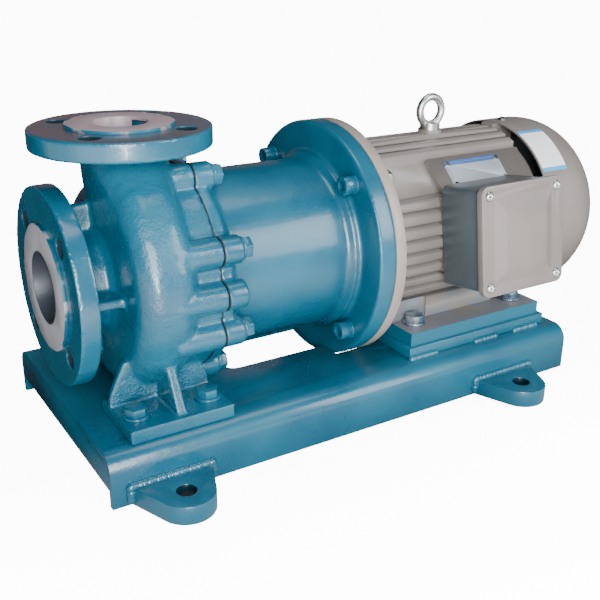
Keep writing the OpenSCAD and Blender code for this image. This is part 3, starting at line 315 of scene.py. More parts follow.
def paint(name, deep, light, gloss, depth, peel, grain, waves, coat=0.35, dust_and_reflection_colour=None, dust_and_reflection_share=0.3, dust_and_reflection_from=None):
    finish, tree, shader = new_finish(name)
    tone = use(tree, drift, Scale=11.0)
    colour = tinted(tree, tone["Cloud"], rgb(*deep), rgb(*light))
    # Faces that look up take the given tint: dust, and on the casing's flange top partly a painted reflection of the
    # brown hall.
    if dust_and_reflection_colour:
        dust_and_reflection_mask = product(tree, use(tree, dust_and_reflection)["Mask"], dust_and_reflection_share)
        if dust_and_reflection_from:
            dust_and_reflection_mask = product(tree, dust_and_reflection_mask, between(tree, place_of(tree)["Z"], dust_and_reflection_from - 20 * MM, dust_and_reflection_from))
        colour = tinted(tree, dust_and_reflection_mask, colour, rgb(*dust_and_reflection_colour))
    feed(tree, shader.inputs["Base Color"], colour)
    feed(tree, shader.inputs["Roughness"], between(tree, tone["Cloud"], 0, 1, gloss - 0.05, gloss + 0.08))
    shader.inputs["Coat Weight"].default_value = coat
    shader.inputs["Coat Roughness"].default_value = 0.12
    bumped(tree, shader, depth, Peel=peel, Grain=grain, Waves=waves)
    return finish


# %% Bare metal, plastic and rubber
def bare(name, deep, light, rough, metal=0.0, depth=0.2 * MM, peel=0.1, grain=0.5):
    finish, tree, shader = new_finish(name)
    tone = use(tree, drift, Scale=30.0)
    worn = tinted(tree, tone["Cloud"], rgb(*deep), rgb(*light))
    feed(tree, shader.inputs["Base Color"], tinted(tree, product(tree, tone["Speck"], 0.3), worn, rgb(*deep)))
    feed(tree, shader.inputs["Roughness"], between(tree, tone["Cloud"], 0, 1, rough - 0.06, rough + 0.08))
    shader.inputs["Metallic"].default_value = metal
    bumped(tree, shader, depth, Peel=peel, Grain=grain, Waves=0.0)
    return finish


# %% Enamel and paints
TEAL_DEEP, TEAL_LIGHT = (0.002, 0.074, 0.124), (0.006, 0.11, 0.17)
# The brown is dust on the motor flange and terminal cover, and on the casing's flange top partly painted reflection of
# the brown hall behind.
BROWN_DUST_AND_REFLECTION, BLUE_GREY_TOP, GREY_DUST = (0.13, 0.08, 0.078), (0.02, 0.09, 0.14), (0.21, 0.18, 0.165)


# Faces of the teal enamel that look up take a bluish grey.
def smooth_enamel(name):
    return paint(name, TEAL_DEEP, TEAL_LIGHT, gloss=0.31, depth=0.3 * MM, peel=0.5, grain=0.15, waves=0.6,
                 dust_and_reflection_colour=BLUE_GREY_TOP)


def motor_grey(name):
    return paint(name, (0.178, 0.149, 0.132), (0.215, 0.182, 0.162), gloss=0.4, depth=0.2 * MM, peel=0.5, grain=0.4,
                 waves=0.2, coat=0.12, dust_and_reflection_colour=GREY_DUST, dust_and_reflection_share=0.5)


finishes = {
    "teal_enamel": smooth_enamel("smooth_enamel"),
    "motor_paint": motor_grey("motor_paint"),
    "flange_paint": paint("flange_paint", (0.27, 0.215, 0.18), (0.33, 0.27, 0.225), gloss=0.4, depth=0.2 * MM, peel=0.4,
                          grain=0.3, waves=0.2, coat=0.15, dust_and_reflection_colour=BROWN_DUST_AND_REFLECTION, dust_and_reflection_share=0.2),
    "terminal_paint": paint("terminal_paint", (0.112, 0.097, 0.089), (0.132, 0.116, 0.107), gloss=0.36, depth=0.2 * MM,
                            peel=0.6, grain=0.2, waves=0.2, coat=0.2, dust_and_reflection_colour=BROWN_DUST_AND_REFLECTION, dust_and_reflection_share=0.2),
}
# On the casing the brown tint only reaches faces above 280 to 300 mm, the discharge flange top: partly dust, partly
# painted reflection of the brown hall behind.
cast_enamel = paint("cast_enamel", TEAL_DEEP, TEAL_LIGHT, gloss=0.26, depth=1.7 * MM, peel=0.65, grain=0.3, waves=1.0,
                    coat=0.5, dust_and_reflection_colour=BROWN_DUST_AND_REFLECTION, dust_and_reflection_share=0.75, dust_and_reflection_from=300 * MM)
weld_enamel = paint("weld_enamel", TEAL_DEEP, TEAL_LIGHT, gloss=0.27, depth=0.3 * MM, peel=0.4, grain=0.2, waves=0.4,
                    coat=0.5)
# The terminal box gets a darker, bluer copy of the cover's paint: painted shade of its unlit side.
shaded_box_paint = paint("shaded_box_paint", (0.055, 0.066, 0.074), (0.072, 0.084, 0.092), gloss=0.38, depth=0.2 * MM, peel=0.6,
                  grain=0.2, waves=0.2, coat=0.2, dust_and_reflection_colour=(0.17, 0.155, 0.145), dust_and_reflection_share=0.5)
frame_paint, lug_enamel = motor_grey("frame_paint"), smooth_enamel("lug_enamel")
print("paints:", len(finishes) + 5)

# %% Metals, plastics and rubber
for slot, values in {
    "silicon_carbide": ((0.05, 0.05, 0.055), (0.08, 0.08, 0.085), 0.3),
    "impeller_plastic": ((0.7, 0.67, 0.62), (0.78, 0.75, 0.7), 0.45),
    "carbon_shell": ((0.02, 0.02, 0.022), (0.04, 0.04, 0.045), 0.35),
    "seal_rubber": ((0.02, 0.02, 0.02), (0.04, 0.035, 0.03), 0.6),
    "magnet": ((0.3, 0.3, 0.31), (0.4, 0.4, 0.41), 0.35, 1.0),
    "drum_iron": ((0.2, 0.2, 0.2), (0.3, 0.29, 0.28), 0.45, 1.0),
    "dark_steel": ((0.12, 0.12, 0.12), (0.2, 0.19, 0.18), 0.4, 1.0),
    "bright_steel": ((0.5, 0.49, 0.47), (0.62, 0.61, 0.59), 0.3, 1.0),
    "laminations": ((0.25, 0.26, 0.28), (0.33, 0.34, 0.35), 0.5, 0.8),
    "copper": ((0.45, 0.16, 0.07), (0.58, 0.24, 0.11), 0.4, 0.9),
    "cage_brass": ((0.5, 0.35, 0.12), (0.62, 0.45, 0.18), 0.35, 1.0),
    "fan_plastic": ((0.03, 0.03, 0.032), (0.05, 0.05, 0.052), 0.5),
    "plate_aluminium": ((0.6, 0.61, 0.62), (0.7, 0.71, 0.72), 0.36, 0.7),
    "gasket_rubber": ((0.015, 0.015, 0.016), (0.03, 0.03, 0.03), 0.65),
    "board_plastic": ((0.2, 0.04, 0.02), (0.26, 0.06, 0.03), 0.4),
    "stud_brass": ((0.55, 0.4, 0.14), (0.66, 0.5, 0.2), 0.32, 1.0),
}.items():
    finishes[slot] = bare(slot, *values)
finishes["zinc"] = bare("zinc", (0.5, 0.5, 0.48), (0.68, 0.66, 0.6), 0.26, 1.0, 0.1 * MM, peel=0.4, grain=0.2)
finishes["lining"] = bare("white_lining", (0.28, 0.29, 0.305), (0.36, 0.33, 0.345), 0.4, 0.0, 0.1 * MM, peel=0.4,
                          grain=0.1)
sprayed_zinc = bare("sprayed_zinc", (0.22, 0.23, 0.25), (0.4, 0.41, 0.42), 0.34, 0.75, 0.2 * MM, peel=0.5, grain=0.3)
joint_dark = bare("joint_sealant", (0.006, 0.008, 0.01), (0.015, 0.016, 0.018), 0.6)
print("finishes:", len(finishes))

# %% [markdown]
# ## Overspray and painted shade in holes
# The pump was sprayed in one go with its base, so paint lies where it doesn't belong: on the edge of the lining, on
# the sole of the motor's feet and half over its bolts. Bolt holes and the suction bore get painted shade, a near black
# colour, because little light gets in. A picture painted by hand would have to be drawn on every piece. These places
# follow from the pump's own sizes, so each mask is worked out from Object coordinates: a distance from an axis, a
# height, a ragged edge.

# %% Mask helpers
def apart(tree, value, centre=0.0):
    return sums(tree, "ABSOLUTE", sums(tree, "SUBTRACT", value, centre))


def from_axis(tree, a, b, a0=0.0, b0=0.0):
    offsets = [apart(tree, a, a0), apart(tree, b, b0)]
    return sums(tree, "SQRT", sums(tree, "ADD", *[product(tree, off, off) for off in offsets]))


def ragged(tree, value, edge, spread, scale=60.0):
    place = add(tree, "ShaderNodeTexCoord").outputs["Object"]
    wander = between(tree, cloud(tree, place, scale, 4.0), 0.3, 0.7, -spread, spread)
    return between(tree, sums(tree, "ADD", value, wander), edge - spread * 0.3, edge + spread * 0.3)


# Mixes a colour into a finish where a mask says: real overspray in some places, painted shade and painted reflection in
# others.
def overspray_and_painted_light(finish, colour, mask_of):
    tree = finish.node_tree
    target = tree.nodes["Principled BSDF"].inputs["Base Color"]
    below = target.links[0].from_socket
    feed(tree, target, tinted(tree, mask_of(tree), below, rgb(*colour)))


# %% Lining: dull disc on top, teal at the edges, painted shade in the bore
DISCHARGE_X, DISC_Z, SUCTION_X = -175 * MM, 297 * MM, -255 * MM


def disc_top(tree):
    return between(tree, place_of(tree)["Z"], DISC_Z - 1 * MM, DISC_Z + 1 * MM)


def disc_edge(tree):
    place = place_of(tree)
    return product(tree, ragged(tree, from_axis(tree, place["X"], place["Y"], DISCHARGE_X), 48.5 * MM, 1.2 * MM),
                   disc_top(tree))


def ring_wall(tree):
    place = place_of(tree)
    return product(tree, ragged(tree, from_axis(tree, place["Y"], place["Z"], 0.0, SHAFT_Z), 58.3 * MM, 1.2 * MM),
                   between(tree, place["X"], SUCTION_X + 5 * MM, SUCTION_X + 3 * MM))


# Near black inside the suction bore: painted shade.
def suction_bore_shade(tree):
    place = place_of(tree)
    return product(tree, between(tree, from_axis(tree, place["Y"], place["Z"], 0.0, SHAFT_Z), 34.5 * MM, 33.5 * MM),
                   between(tree, place["Z"], 270 * MM, 260 * MM))


for colour, mask in (((0.35, 0.26, 0.265), disc_top), (TEAL_DEEP, ring_wall), ((0.03, 0.033, 0.042), suction_bore_shade),
                     (TEAL_LIGHT, disc_edge)):
    overspray_and_painted_light(finishes["lining"], colour, mask)
print("lining:", len(finishes["lining"].node_tree.nodes), "nodes")

# %% Casing: painted shade in the bolt holes, turned flanges, coarse feet
SUCTION_HOLE, DISCHARGE_HOLE = 51.3 * MM, 44.2 * MM
HOLE_EDGE, HOLE_WALL = 9.7 * MM, 9.3 * MM


# Near black colour, no coat and full roughness in the flange bolt holes: painted shade.
def flange_hole_shade(tree):
    place = place_of(tree)
    side, along = apart(tree, place["Y"]), apart(tree, place["X"], DISCHARGE_X)
    height = apart(tree, place["Z"], SHAFT_Z)
    front = from_axis(tree, side, height, SUCTION_HOLE, SUCTION_HOLE)
    front = product(tree, between(tree, front, HOLE_EDGE, HOLE_WALL),
                    between(tree, place["X"], -254.8 * MM, -254.4 * MM),
                    between(tree, place["X"], -233 * MM, -234 * MM))
    top = from_axis(tree, along, side, DISCHARGE_HOLE, DISCHARGE_HOLE)
    top = product(tree, between(tree, top, HOLE_EDGE, HOLE_WALL),
                  between(tree, place["Z"], 301.8 * MM, 301.4 * MM),
                  between(tree, place["Z"], 280 * MM, 281 * MM))
    return sums(tree, "MAXIMUM", front, top)


def sand_share(tree):
    place = place_of(tree)
    turned = sums(tree, "MAXIMUM", between(tree, place["X"], -233.5 * MM, -234.5 * MM),
                  between(tree, place["Z"], 281 * MM, 283 * MM))
    web = between(tree, place["Z"], 118 * MM, 100 * MM)
    share = sums(tree, "ADD", between(tree, turned, 0, 1, 0.47, 0.13), between(tree, web, 0, 1, 0.0, 0.53))
    return product(tree, share, between(tree, place["Z"], 62 * MM, 68 * MM, 0.3, 1.0))


overspray_and_painted_light(cast_enamel, (0.0, 0.012, 0.022), flange_hole_shade)
iron = cast_enamel.node_tree
iron_shader, iron_bump = iron.nodes["Principled BSDF"], iron.nodes["Bump"]
shade_in_hole = flange_hole_shade(iron)
feed(iron, iron_shader.inputs["Coat Weight"], between(iron, shade_in_hole, 0, 1, 0.5, 0.0))
gloss = iron_shader.inputs["Roughness"].links[0].from_socket
feed(iron, iron_shader.inputs["Roughness"], sums(iron, "MAXIMUM", gloss, shade_in_hole))
sand = iron_bump.inputs["Height"].links[0].from_socket
feed(iron, iron_bump.inputs["Height"], product(iron, sand, sand_share(iron)))
print("casing:", len(iron.nodes), "nodes")

# %% Motor feet, lugs and bolts
LUG_X, ANCHOR_Y = 197.5 * MM, 161 * MM


# A bluish grey on the motor frame below about 98 mm, with a ragged edge: painted reflection of the teal base below.
def base_reflection_tint(tree):
    drop = product(tree, place_of(tree)["Z"], -1.0)
    return product(tree, ragged(tree, drop, -98 * MM, 30 * MM, scale=30.0), 0.35)


def sole_edge(tree):
    place = place_of(tree)
    side = between(tree, apart(tree, place["Y"]), 103.4 * MM, 103.8 * MM)
    front = between(tree, place["X"], 90.2 * MM, 89.6 * MM)
    return product(tree, sums(tree, "MAXIMUM", side, front), between(tree, place["Z"], 77.2 * MM, 76.6 * MM))


# Near black colour in the anchor lug holes: painted shade.
def lug_hole_shade(tree):
    place = place_of(tree)
    reach = from_axis(tree, apart(tree, place["X"]), apart(tree, place["Y"]), LUG_X, ANCHOR_Y)
    return product(tree, between(tree, reach, 9.6 * MM, 9.2 * MM), between(tree, place["Z"], 17.8 * MM, 17.4 * MM))


def half_covered(tree):
    place = add(tree, "ShaderNodeTexCoord").outputs["Object"]
    return between(tree, cloud(tree, place, 90.0, 3.0), 0.42, 0.6, 0.1, 0.85)


overspray_and_painted_light(frame_paint, (0.1, 0.16, 0.22), base_reflection_tint)
overspray_and_painted_light(frame_paint, TEAL_LIGHT, sole_edge)
overspray_and_painted_light(lug_enamel, (0.0, 0.014, 0.026), lug_hole_shade)
overspray_and_painted_light(sprayed_zinc, (0.02, 0.12, 0.2), half_covered)
print("motor frame:", len(frame_paint.node_tree.nodes), "nodes")

# %% A finish for every solid
slot_of = {p["node"]: p["material_slot"] for p in frame["record"]["subparts"]}
for name, solid in nodes.items():
    solid.data.materials.clear()
    solid.data.materials.append(finishes[slot_of[name]])
own_finish = {
    "motor_frame": frame_paint, "terminal_box": shaded_box_paint, "motor_foot_bolts": sprayed_zinc,
    "motor_foot_washers": sprayed_zinc, "anchor_lugs": lug_enamel,
}
print("solids with a finish:", len(nodes), "of which their own:", len(own_finish))

# %% [markdown]
# ## Softened edges
# CAD edges are knife sharp, and no painted or pressed edge is: it is the narrow round that catches the light. A frame
# node is loose triangles and stays untouched, so a copy is welded into one skin, its flat regions are joined again,
# and a Bevel rounds every edge sharper than a limit. The copy then stands for the node.

# %% Copies of the solids with rounded edges
def skin_of(name, flat=0.6):
    skin = bmesh.new()
    skin.from_mesh(nodes[name].data)
    bmesh.ops.remove_doubles(skin, verts=skin.verts, dist=2e-6)
    if flat:
        bmesh.ops.dissolve_limit(skin, angle_limit=math.radians(flat), verts=skin.verts, edges=skin.edges)
    return skin


def put(name, mesh, finish=None):
    if finish:
        mesh.materials.clear()
        mesh.materials.append(finish)
    piece = bpy.data.objects.new(name, mesh)
    bpy.context.scene.collection.objects.link(piece)
    return piece


def baked(piece):
    depsgraph = bpy.context.evaluated_depsgraph_get()
    mesh = bpy.data.meshes.new_from_object(piece.evaluated_get(depsgraph), depsgraph=depsgraph)
    piece.modifiers.clear()
    piece.data = mesh
    return piece


def stand_for(piece, name):
    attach(piece, body_of[name])
    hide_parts(name)
    return piece


def softened(name, width, segments=2, finish=None, sharp=32):
    mesh = bpy.data.meshes.new(name + "_skin")
    skin = skin_of(name)
    skin.to_mesh(mesh)
    skin.free()
    piece = put(name + "_finish", mesh, finish or finishes[slot_of[name]])
    if width:
        edge = piece.modifiers.new("edge", "BEVEL")
        edge.width = width
        edge.segments = segments
        edge.limit_method = "ANGLE"
        edge.angle_limit = math.radians(sharp)
        edge.use_clamp_overlap = True
        edge.miter_outer = "MITER_ARC"
        baked(piece)
    piece.data.shade_smooth()
    piece.data.set_sharp_from_angle(angle=math.radians(sharp))
    return stand_for(piece, name)


for name, width in {
    "base_channel": 0.8, "base_end_plates": 0.8, "anchor_lugs": 1.8, "motor_packing_plates": 1.2,
    "pump_foot_bolts": 0.5, "pump_foot_washers": 0.3, "motor_foot_bolts": 0.5, "motor_foot_washers": 0.3,
    "casing_bolts": 0.5, "casing_bolt_washers": 0.3, "lantern_screws": 0.5, "lantern_nuts": 0.5,
    "lantern_spring_washers": 0.3, "motor_flange_shield": 1.0, "terminal_box": 1.2, "terminal_cover": 0.9,
    "fan_cowl": 0, "motor_frame": 0, "casing_lining": 0.4, "lifting_eye": 0, "nameplate": 0.2,
    "terminal_gasket": 0, "nameplate_rivets": 0.2, "rear_shield": 0,
}.items():
    made = softened(name, width * MM, finish=own_finish.get(name))
    print(made.name, len(made.data.polygons), "faces")

# %% Crisp edges of the pressed cover
def crisp(piece, least_turn, least_area):
    skin = bmesh.new()
    skin.from_mesh(piece.data)
    for edge in skin.edges:
        sides = edge.link_faces
        if len(sides) == 2 and min(f.calc_area() for f in sides) > least_area and edge.calc_face_angle() > least_turn:
            edge.smooth = False
    print(piece.name, sum(not e.smooth for e in skin.edges), "sharp edges")
    skin.to_mesh(piece.data)
    skin.free()


crisp(bpy.data.objects["terminal_cover_finish"], math.radians(3), 100 * MM ** 2)

# %% [markdown]
# ## Castings
# Casing and lantern are sand castings: every inner corner is a fillet and no edge is crisp. Rounding hundreds of
# crossing edges one by one would fail, so the skin is rebuilt from small cubes with a Remesh, then smoothed. Places
# that a lathe has faced, such as flange rims and the joint, are smoothed less. A little noise along the normals
# gives the uneven skin of sand.

# %% Cast skin
MOST_TRIANGLES = 150000


def cast(name, voxel, rounds, kept_share, waviness, finish):
    mesh = bpy.data.meshes.new(name + "_skin")
    skin = skin_of(name, 0)
    skin.to_mesh(mesh)
    skin.free()
    piece = put(name + "_finish", mesh, finish)
    cubes = piece.modifiers.new("cubes", "REMESH")
    cubes.mode = "VOXEL"
    cubes.voxel_size = voxel
    baked(piece)
    points = np.array([v.co for v in piece.data.vertices])
    faced = piece.vertex_groups.new(name="rough")
    share = kept_share(points)
    for level in np.unique(share):
        faced.add([int(i) for i in np.nonzero(share == level)[0]], float(level), "REPLACE")
    smooth = piece.modifiers.new("smooth", "SMOOTH")
    smooth.factor = 0.5
    smooth.iterations = rounds
    smooth.vertex_group = faced.name
    baked(piece)
    points = np.array([v.co for v in piece.data.vertices])
    normals = np.array([v.normal for v in piece.data.vertices])
    waves = [noise.noise(Vector(p) * 55) + 0.5 * noise.noise(Vector(p) * 140) for p in points]
    points += normals * (np.array(waves) * waviness * share)[:, None]
    piece.data.vertices.foreach_set("co", points.astype(np.float32).ravel())
    thin = piece.modifiers.new("thin", "DECIMATE")
    thin.ratio = min(1.0, MOST_TRIANGLES / (2 * len(piece.data.polygons)))
    baked(piece)
    piece.data.shade_smooth()
    return stand_for(piece, name)


# %% Faced places of casing and lantern
FACED = 0.12


def casing_roughness(p):
    x, y, z = p[:, 0] / MM, p[:, 1] / MM, p[:, 2] / MM
    share = np.ones(len(p))
    suction = (x < -234.5) & (np.hypot(y, z - SHAFT_Z / MM) > 40)
    discharge = (z > 283) & (np.hypot(x - DISCHARGE_X / MM, y) > 28)
    share[suction | discharge | (z < 66) | (x > -129.5)] = FACED
    return share


def lantern_roughness(p):
    x = p[:, 0] / MM
    share = np.full(len(p), 0.8)
    share[(x < -125.5) | (x > 20)] = FACED
    return share


for piece in (
    cast("pump_casing", 1.7 * MM, 9, casing_roughness, 0.35 * MM, cast_enamel),
    cast("lantern", 1.9 * MM, 5, lantern_roughness, 0.1 * MM, finishes["teal_enamel"]),
):
    print(piece.name, len(piece.data.polygons), "triangles")

# %% [markdown]
# ## Joint sealant
# Casing and lantern meet on a flat joint, and the sealant that is pressed out of it reads as a thin dark line that
# runs round the ring and over every boss. The outline is the largest of one circle and nine small ones, so it can be
# worked out point by point, and a narrow band follows it, a tenth of a millimetre proud of the castings.

# %% Sealant band
RING_R, BOLT_R, BOSS_R, JOINT_X = 101 * MM, 102 * MM, 13.5 * MM, -127.5 * MM
boss_turns = [math.radians(22.5 + 45 * i) for i in range(8)] + [math.radians(90)]


def joint_radius(turn):
    reach = RING_R
    for boss in boss_turns:
        off = BOLT_R * math.sin(turn - boss)
        if abs(off) < BOSS_R and math.cos(turn - boss) > 0:
            reach = max(reach, BOLT_R * math.cos(turn - boss) + math.sqrt(BOSS_R ** 2 - off ** 2))
    return reach


def swept_ring(name, profile_at, steps, finish):
    rings = []
    for i in range(steps):
        turn = 2 * math.pi * i / steps
        rings.append([(x, -r * math.sin(turn), SHAFT_Z + r * math.cos(turn)) for x, r in profile_at(turn)])
    around = len(rings[0])
    total = around * steps
    faces = []
    for i in range(steps):
        for k in range(around):
            a, b = around * i + k, around * i + (k + 1) % around
            faces.append((a, b, (b + around) % total, (a + around) % total))
    mesh = bpy.data.meshes.new(name)
    mesh.from_pydata(sum(rings, []), [], faces)
    skin = bmesh.new()
    skin.from_mesh(mesh)
    bmesh.ops.recalc_face_normals(skin, faces=skin.faces)
    skin.to_mesh(mesh)
    skin.free()
    return put(name, mesh, finish)


def sealant_profile(turn, half=0.55 * MM, proud=0.1 * MM, deep=2.5 * MM):
    outer = joint_radius(turn) + proud
    sides = ((-half, outer - deep), (-half, outer), (half, outer), (half, outer - deep))
    return [(JOINT_X + x, r) for x, r in sides]


sealant = swept_ring("joint_sealant", sealant_profile, 720, joint_dark)
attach(sealant, "pump_and_motor")
print("sealant:", len(sealant.data.polygons), "faces")

# %% [markdown]
# ## Fan rim
# Behind the gap between frame and cowl lies the fan. Its blades stand on a disc whose rim flares out along their feet,
# and that dark rim is what shows in the gap. It is one turned ring, so the same sweep as the sealant's makes it.

# %% Flared rim at the feet of the blades
fan_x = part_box("cooling_fan")[0].x
flare = [(fan_x + x * MM, r * MM) for x, r in ((0.5, 66), (5.6, 85.2), (7.4, 85.2), (2.6, 66))]
fan_rim = swept_ring("fan_rim", lambda turn: flare, 96, finishes["fan_plastic"])
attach(fan_rim, body_of["cooling_fan"])
print("fan rim from x", round(fan_x / MM, 1), "mm")

# %% [markdown]
# ## Weld beads
# Lugs and packing plates are welded to the base with a stick electrode, which leaves a chain of overlapping drops
# under the paint. Modelling each drop by hand would take hours, so a Geometry Nodes tree walks along the seam, sets
# a ball at every pitch, turns it along the seam and varies its size from a fixed seed. Thick paint has filled the
# chain, so the drops lie close and differ little.

# %% Geometry Nodes helpers
def tree_with(name, inputs):
    tree = bpy.data.node_groups.new(name, "GeometryNodeTree")
    kinds = {float: "NodeSocketFloat", int: "NodeSocketInt"}
    tree.interface.new_socket("Points", in_out="INPUT", socket_type="NodeSocketGeometry")
    for label, value in inputs.items():
        kind = kinds.get(type(value), "NodeSocketMaterial")
        tree.interface.new_socket(label, in_out="INPUT", socket_type=kind).default_value = value
    tree.interface.new_socket("Pieces", in_out="OUTPUT", socket_type="NodeSocketGeometry")
    return tree, add(tree, "NodeGroupInput").outputs, add(tree, "NodeGroupOutput").inputs


def linked(tree, kind, links=None, **settings):
    node = add(tree, kind, **settings)
    for label, value in (links or {}).items():
        feed(tree, node.inputs[label], value)
    return node


def vector_of(tree, x, y, z):
    return linked(tree, "ShaderNodeCombineXYZ", {"X": x, "Y": y, "Z": z}).outputs[0]


def grown(piece, tree, **values):
    step = piece.modifiers.new(tree.name, "NODES")
    step.node_group = tree
    for item in tree.interface.items_tree:
        if item.in_out == "INPUT" and item.name in values:
            step[item.identifier] = values[item.name]
    return baked(piece)


def finish_pieces(tree, given, out, instances):
    real = linked(tree, "GeometryNodeRealizeInstances", {"Geometry": instances})
    smooth = linked(tree, "GeometryNodeSetShadeSmooth", {"Geometry": real.outputs[0]})
    last = linked(tree, "GeometryNodeSetMaterial", {"Geometry": smooth.outputs[0], "Material": given["Finish"]})
    tree.links.new(last.outputs[0], out["Pieces"])


# %% Tree of the weld bead
weld, given, out = tree_with("Weld bead", {
    "Pitch": 1.6 * MM, "Drop radius": 4.6 * MM, "Unevenness": 0.1, "Seed": 3, "Finish": weld_enamel,
})
seam = linked(weld, "GeometryNodeMeshToCurve", {"Mesh": given["Points"]})
walk = linked(weld, "GeometryNodeResampleCurve", {"Curve": seam.outputs[0], "Length": given["Pitch"]}, mode="LENGTH")
drop = linked(weld, "GeometryNodeMeshIcoSphere", {"Radius": given["Drop radius"], "Subdivisions": 2})
run = linked(weld, "FunctionNodeAlignRotationToVector", {"Vector": add(weld, "GeometryNodeInputTangent").outputs[0]})
small = linked(weld, "ShaderNodeMath", {0: 1.0, 1: given["Unevenness"]}, operation="SUBTRACT")
large = linked(weld, "ShaderNodeMath", {0: 1.0, 1: given["Unevenness"]}, operation="ADD")
size = add(weld, "FunctionNodeRandomValue", data_type="FLOAT")
for label, value in (("Min", small.outputs[0]), ("Max", large.outputs[0]), ("Seed", given["Seed"])):
    feed(weld, next(s for s in size.inputs if s.name == label and s.enabled), value)
picked = next(s for s in size.outputs if s.enabled)
chain = linked(weld, "GeometryNodeInstanceOnPoints", {
    "Points": walk.outputs[0], "Instance": drop.outputs["Mesh"], "Rotation": run.outputs[0],
    "Scale": vector_of(weld, picked, picked, picked),
})
finish_pieces(weld, given, out, chain.outputs[0])
print("weld bead tree:", len(weld.nodes), "nodes")

# %% Beads at the lugs and packing plates
BASE_Y, BASE_Z, LUG_ROOT, LUG_T, BEAD_FOOT = 132 * MM, 50 * MM, 39 * MM, 18 * MM, 6 * MM
PACKING_RUNS = ((3, 34), (92, 120), (150, 181))
packing_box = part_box("motor_packing_plates")
seams = []
for sx in (-1, 1):
    for sy in (-1, 1):
        x, y = sx * LUG_X, sy * BASE_Y
        seams.append([(x - LUG_ROOT, y, BEAD_FOOT), (x - LUG_ROOT, y, LUG_T), (x + LUG_ROOT, y, LUG_T),
                      (x + LUG_ROOT, y, BEAD_FOOT)])
for sy in (-1, 1):
    outer = sy * packing_box[1].y
    for start, end in PACKING_RUNS:
        seams.append([(packing_box[0].x + start * MM, outer, BASE_Z), (packing_box[0].x + end * MM, outer, BASE_Z)])
points, edges = [], []
for line in seams:
    edges += [(len(points) + k, len(points) + k + 1) for k in range(len(line) - 1)]
    points += line
path = bpy.data.meshes.new("weld_beads")
path.from_pydata(points, edges, [])
beads = grown(put("weld_beads", path), weld)
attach(beads, "pump_and_motor")
print("weld beads:", len(beads.data.polygons), "faces over", len(seams), "seams")

# %% [markdown]
# ## Pan-head screws
# The terminal cover and the fan cowl are held by small screws with a cross slot. The solids carry plain heads. A tree
# sets a domed head with its slots cut and a shank at each screw's place, so that one tree serves all eight. Cutting
# the slots in the one head before it is repeated costs a single boolean.

# %% Tree of the screw
CUTTER = 10 * MM
screw, given, out = tree_with("Cross-slot screw", {
    "Head radius": 5 * MM, "Head height": 3.4 * MM, "Slot width": 1.1 * MM, "Slot depth": 1.5 * MM,
    "Shank radius": 2.4 * MM, "Shank length": 12 * MM, "Finish": finishes["bright_steel"],
})
ball = linked(screw, "GeometryNodeMeshUVSphere", {"Segments": 32, "Rings": 16, "Radius": 1.0})
dome = linked(screw, "GeometryNodeTransform", {
    "Geometry": ball.outputs["Mesh"],
    "Scale": vector_of(screw, given["Head radius"], given["Head radius"], given["Head height"]),
})
floor_of_slot = linked(screw, "ShaderNodeMath", {0: given["Head height"], 1: given["Slot depth"]}, operation="SUBTRACT")
slot_mid = linked(screw, "ShaderNodeMath", {0: floor_of_slot.outputs[0], 1: CUTTER / 2}, operation="ADD")
long_way = linked(screw, "ShaderNodeMath", {0: given["Head radius"], 1: 1.3}, operation="MULTIPLY").outputs[0]
cutters = []
for size_x, size_y in ((long_way, given["Slot width"]), (given["Slot width"], long_way)):
    bar = linked(screw, "GeometryNodeMeshCube", {"Size": vector_of(screw, size_x, size_y, CUTTER)})
    cutters.append(linked(screw, "GeometryNodeTransform", {
        "Geometry": bar.outputs["Mesh"], "Translation": vector_of(screw, 0.0, 0.0, slot_mid.outputs[0]),
    }))
slotted = add(screw, "GeometryNodeMeshBoolean", operation="DIFFERENCE")
screw.links.new(dome.outputs[0], slotted.inputs[0])
for cutter in cutters:
    screw.links.new(cutter.outputs[0], slotted.inputs[1])
shank = linked(screw, "GeometryNodeMeshCylinder", {
    "Vertices": 20, "Radius": given["Shank radius"], "Depth": given["Shank length"],
})
below = linked(screw, "ShaderNodeMath", {0: given["Shank length"], 1: -0.5}, operation="MULTIPLY")
sunk = linked(screw, "GeometryNodeTransform", {
    "Geometry": shank.outputs["Mesh"], "Translation": vector_of(screw, 0.0, 0.0, below.outputs[0]),
})
whole = add(screw, "GeometryNodeJoinGeometry")
for part in (slotted, sunk):
    screw.links.new(part.outputs[0], whole.inputs[0])
facing = add(screw, "GeometryNodeInputNamedAttribute", data_type="FLOAT_VECTOR")
facing.inputs["Name"].default_value = "facing"
turned = linked(screw, "FunctionNodeAlignRotationToVector", {"Vector": facing.outputs[0]}, axis="Z")
driven = linked(screw, "GeometryNodeInstanceOnPoints", {
    "Points": given["Points"], "Instance": whole.outputs[0], "Rotation": turned.outputs[0],
})
finish_pieces(screw, given, out, driven.outputs[0])
print("screw tree:", len(screw.nodes), "nodes")

# %% Screws at their solids
def loose_solids(name):
    skin = skin_of(name, 0)
    left = set(skin.verts)
    while left:
        island, front = set(), [left.pop()]
        while front:
            vert = front.pop()
            island.add(vert)
            for edge in vert.link_edges:
                other = edge.other_vert(vert)
                if other in left:
                    left.discard(other)
                    front.append(other)
        yield np.array([v.co for v in island])
    skin.free()


def screw_places(name, head_height):
    for cloud_of_points in loose_solids(name):
        middle = cloud_of_points.mean(0)
        axis = np.linalg.svd(cloud_of_points - middle)[2][0]
        along = (cloud_of_points - middle) @ axis
        reach = np.linalg.norm(cloud_of_points - middle - np.outer(along, axis), axis=1)
        if along[reach.argmax()] < 0:
            axis, along = -axis, -along
        foot = middle + axis * (along.max() - head_height)
        yield foot, axis


